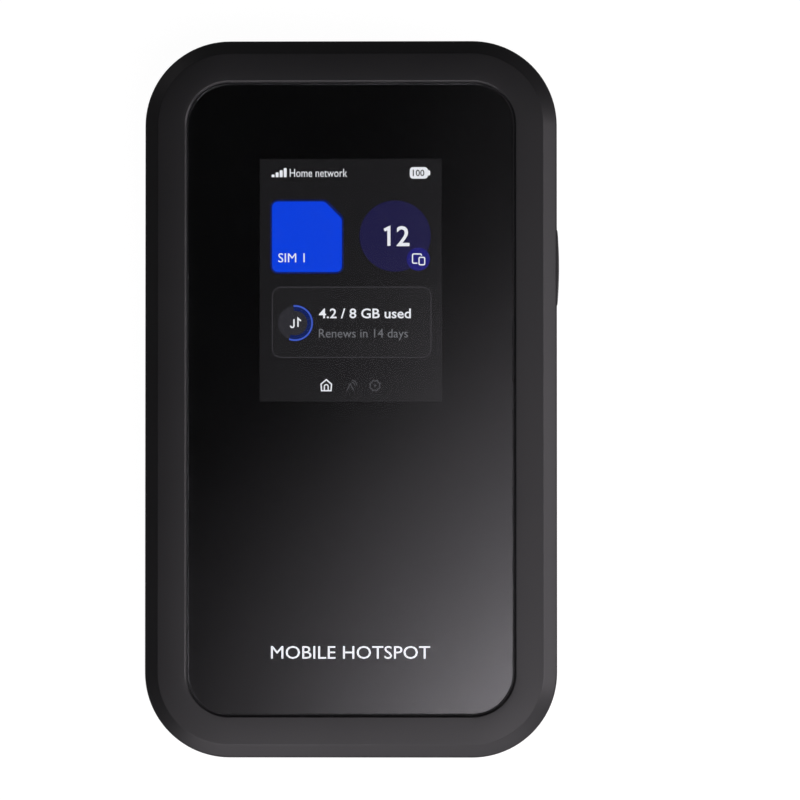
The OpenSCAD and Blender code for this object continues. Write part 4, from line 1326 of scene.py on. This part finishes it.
def display_module():
    eased("lens_adhesive", 0.01, turns=1)
    eased("lcd_panel", 0.05)
    eased("lcd_bracket", 0.08)
    eased("lcd_connector", 0.1)
    eased("lcd_flex", 0.02, turns=1)
    piece("backlight_frame", slab("lcd_backlight", 0.8, 0.12), "light_guide", ["lcd_backlight"])


def build():
    for make in (front_shell, front_window, picture, wordmark, power_key, usb_socket, rear_shell,
                 screws, board, heat_parts, switch, antennas, leaf_springs, sim_parts, chassis,
                 battery, display_module):
        make()


build()


# --- Camera, floor and lights --------------------------------------------------------------

def stand_at(made, place, towards):
    """Places a camera or light, its -Z axis towards a point and its top towards +Y, in metres."""
    back = (Vector(place) - Vector(towards)).normalized()
    right = Vector((0, 1, 0)).cross(back).normalized()
    turn = Matrix((right, back.cross(right), back)).transposed()
    made.matrix_world = Matrix.Translation(place) @ turn.to_4x4()
    bpy.context.scene.collection.objects.link(made)


def overhead_camera():
    """Looks straight down on the display from a little to its lower right."""
    distance, lean_x, lean_y = 0.9, math.radians(1.15), math.radians(-1.2)
    aim = Vector((8.34 * MM, -0.25 * MM, TOP_Z * MM))
    view = bpy.data.cameras.new("overhead")
    view.lens, view.sensor_width = 240.8, 36.0
    made = bpy.data.objects.new("overhead", view)
    back = Vector((math.sin(lean_x), math.sin(lean_y), 1)).normalized()
    stand_at(made, aim + distance * back, aim)
    bpy.context.scene.camera = made


def pale_floor():
    """A white floor that gives the object only part of the light that the camera sees."""
    made, tree, shader = blank("pale_floor")
    path = add(tree, "ShaderNodeLightPath").outputs
    lit = remapped(tree, path["Is Glossy Ray"], 0, 1, 0.5, 0.03)
    fill(tree, shader, {
        "Base Color": (0.1, 0.1, 0.1, 1), "Roughness": 0.9, "Emission Color": (1, 1, 1, 1),
        "Emission Strength": remapped(tree, path["Is Camera Ray"], 0, 1, lit, 0.975)})
    sheet = bpy.data.meshes.new("floor")
    reach = 12.0
    sheet.from_pydata([(-reach, -reach, 0), (reach, -reach, 0), (reach, reach, 0),
                       (-reach, reach, 0)], [], [(0, 1, 2, 3)])
    sheet.materials.append(made)
    placed(sheet)


def feathered(lamp):
    """Fades a light's brightness smoothly from its middle to its edge."""
    lamp.use_nodes = True
    tree = lamp.node_tree
    across = add(tree, "ShaderNodeNewGeometry").outputs["Parametric"]
    centred = add(tree, "ShaderNodeVectorMath", {0: across, 1: (0.5, 0.5, 0)},
                  operation="SUBTRACT")
    flat = add(tree, "ShaderNodeVectorMath", {0: centred.outputs[0], 1: (1, 1, 0)},
               operation="MULTIPLY")
    reach = add(tree, "ShaderNodeVectorMath", {0: flat.outputs[0]}, operation="LENGTH")
    fade = remapped(tree, reach.outputs["Value"], 0.5, 0.0, interpolation_type="SMOOTHERSTEP")
    fill(tree, tree.nodes["Emission"], {"Strength": fade})


def soft_box(name, width, height, place, power, feather=False, towards=(0, 0, 0.01)):
    lamp = bpy.data.lights.new(name, "AREA")
    lamp.shape, lamp.size, lamp.size_y, lamp.energy = "RECTANGLE", width, height, power
    lamp.color = (1.0, 0.94, 1.0)
    if feather:
        feathered(lamp)
    made = bpy.data.objects.new(name, lamp)
    made.visible_camera = False
    stand_at(made, place, towards)


def world_light(level):
    """An even dim surround that looks white where the camera sees past the floor."""
    world = bpy.data.worlds.new("surround")
    world.use_nodes = True
    tree = world.node_tree
    tree.nodes.clear()
    seen = add(tree, "ShaderNodeBackground", {"Color": (1, 1, 1, 1), "Strength": 0.98})
    given = add(tree, "ShaderNodeBackground", {"Color": (1, 1, 1, 1), "Strength": level})
    path = add(tree, "ShaderNodeLightPath")
    both = add(tree, "ShaderNodeMixShader",
               {0: path.outputs["Is Camera Ray"], 1: given.outputs[0], 2: seen.outputs[0]})
    add(tree, "ShaderNodeOutputWorld", {"Surface": both.outputs[0]})
    bpy.context.scene.world = world


LIGHTS = {
    "bottom_wall": (1.2, 0.35, (0.0, -0.80, 0.12), 3.4),
    "right_wall": (1.2, 0.35, (0.80, -0.10, 0.12), 6.7),
    "corner_wall": (0.5, 0.35, (0.58, -0.58, 0.12), 0.85),
    "far_corner_wall": (0.5, 0.35, (-0.58, 0.58, 0.12), 0.35),
    "middle_card": (0.45, 0.45, (0.10, -0.12, 0.60), 1.30, True),
    "right_card": (0.32, 0.45, (0.11, 0.0, 0.60), 0.14, True),
    "low_card": (0.30, 0.30, (0.08, -0.13, 0.30), 1.03, True),
    "near_card": (0.30, 0.20, (-0.03, -0.16, 0.12), 0.42, True),
    "low_left_card": (0.40, 0.30, (-0.20, -0.25, 0.40), 0.30, True),
}

overhead_camera()
pale_floor()
for name, settings in LIGHTS.items():
    soft_box(name, *settings)
world_light(0.021)
bpy.context.scene.view_settings.view_transform = "Standard"
bpy.context.scene.view_settings.look = "None"
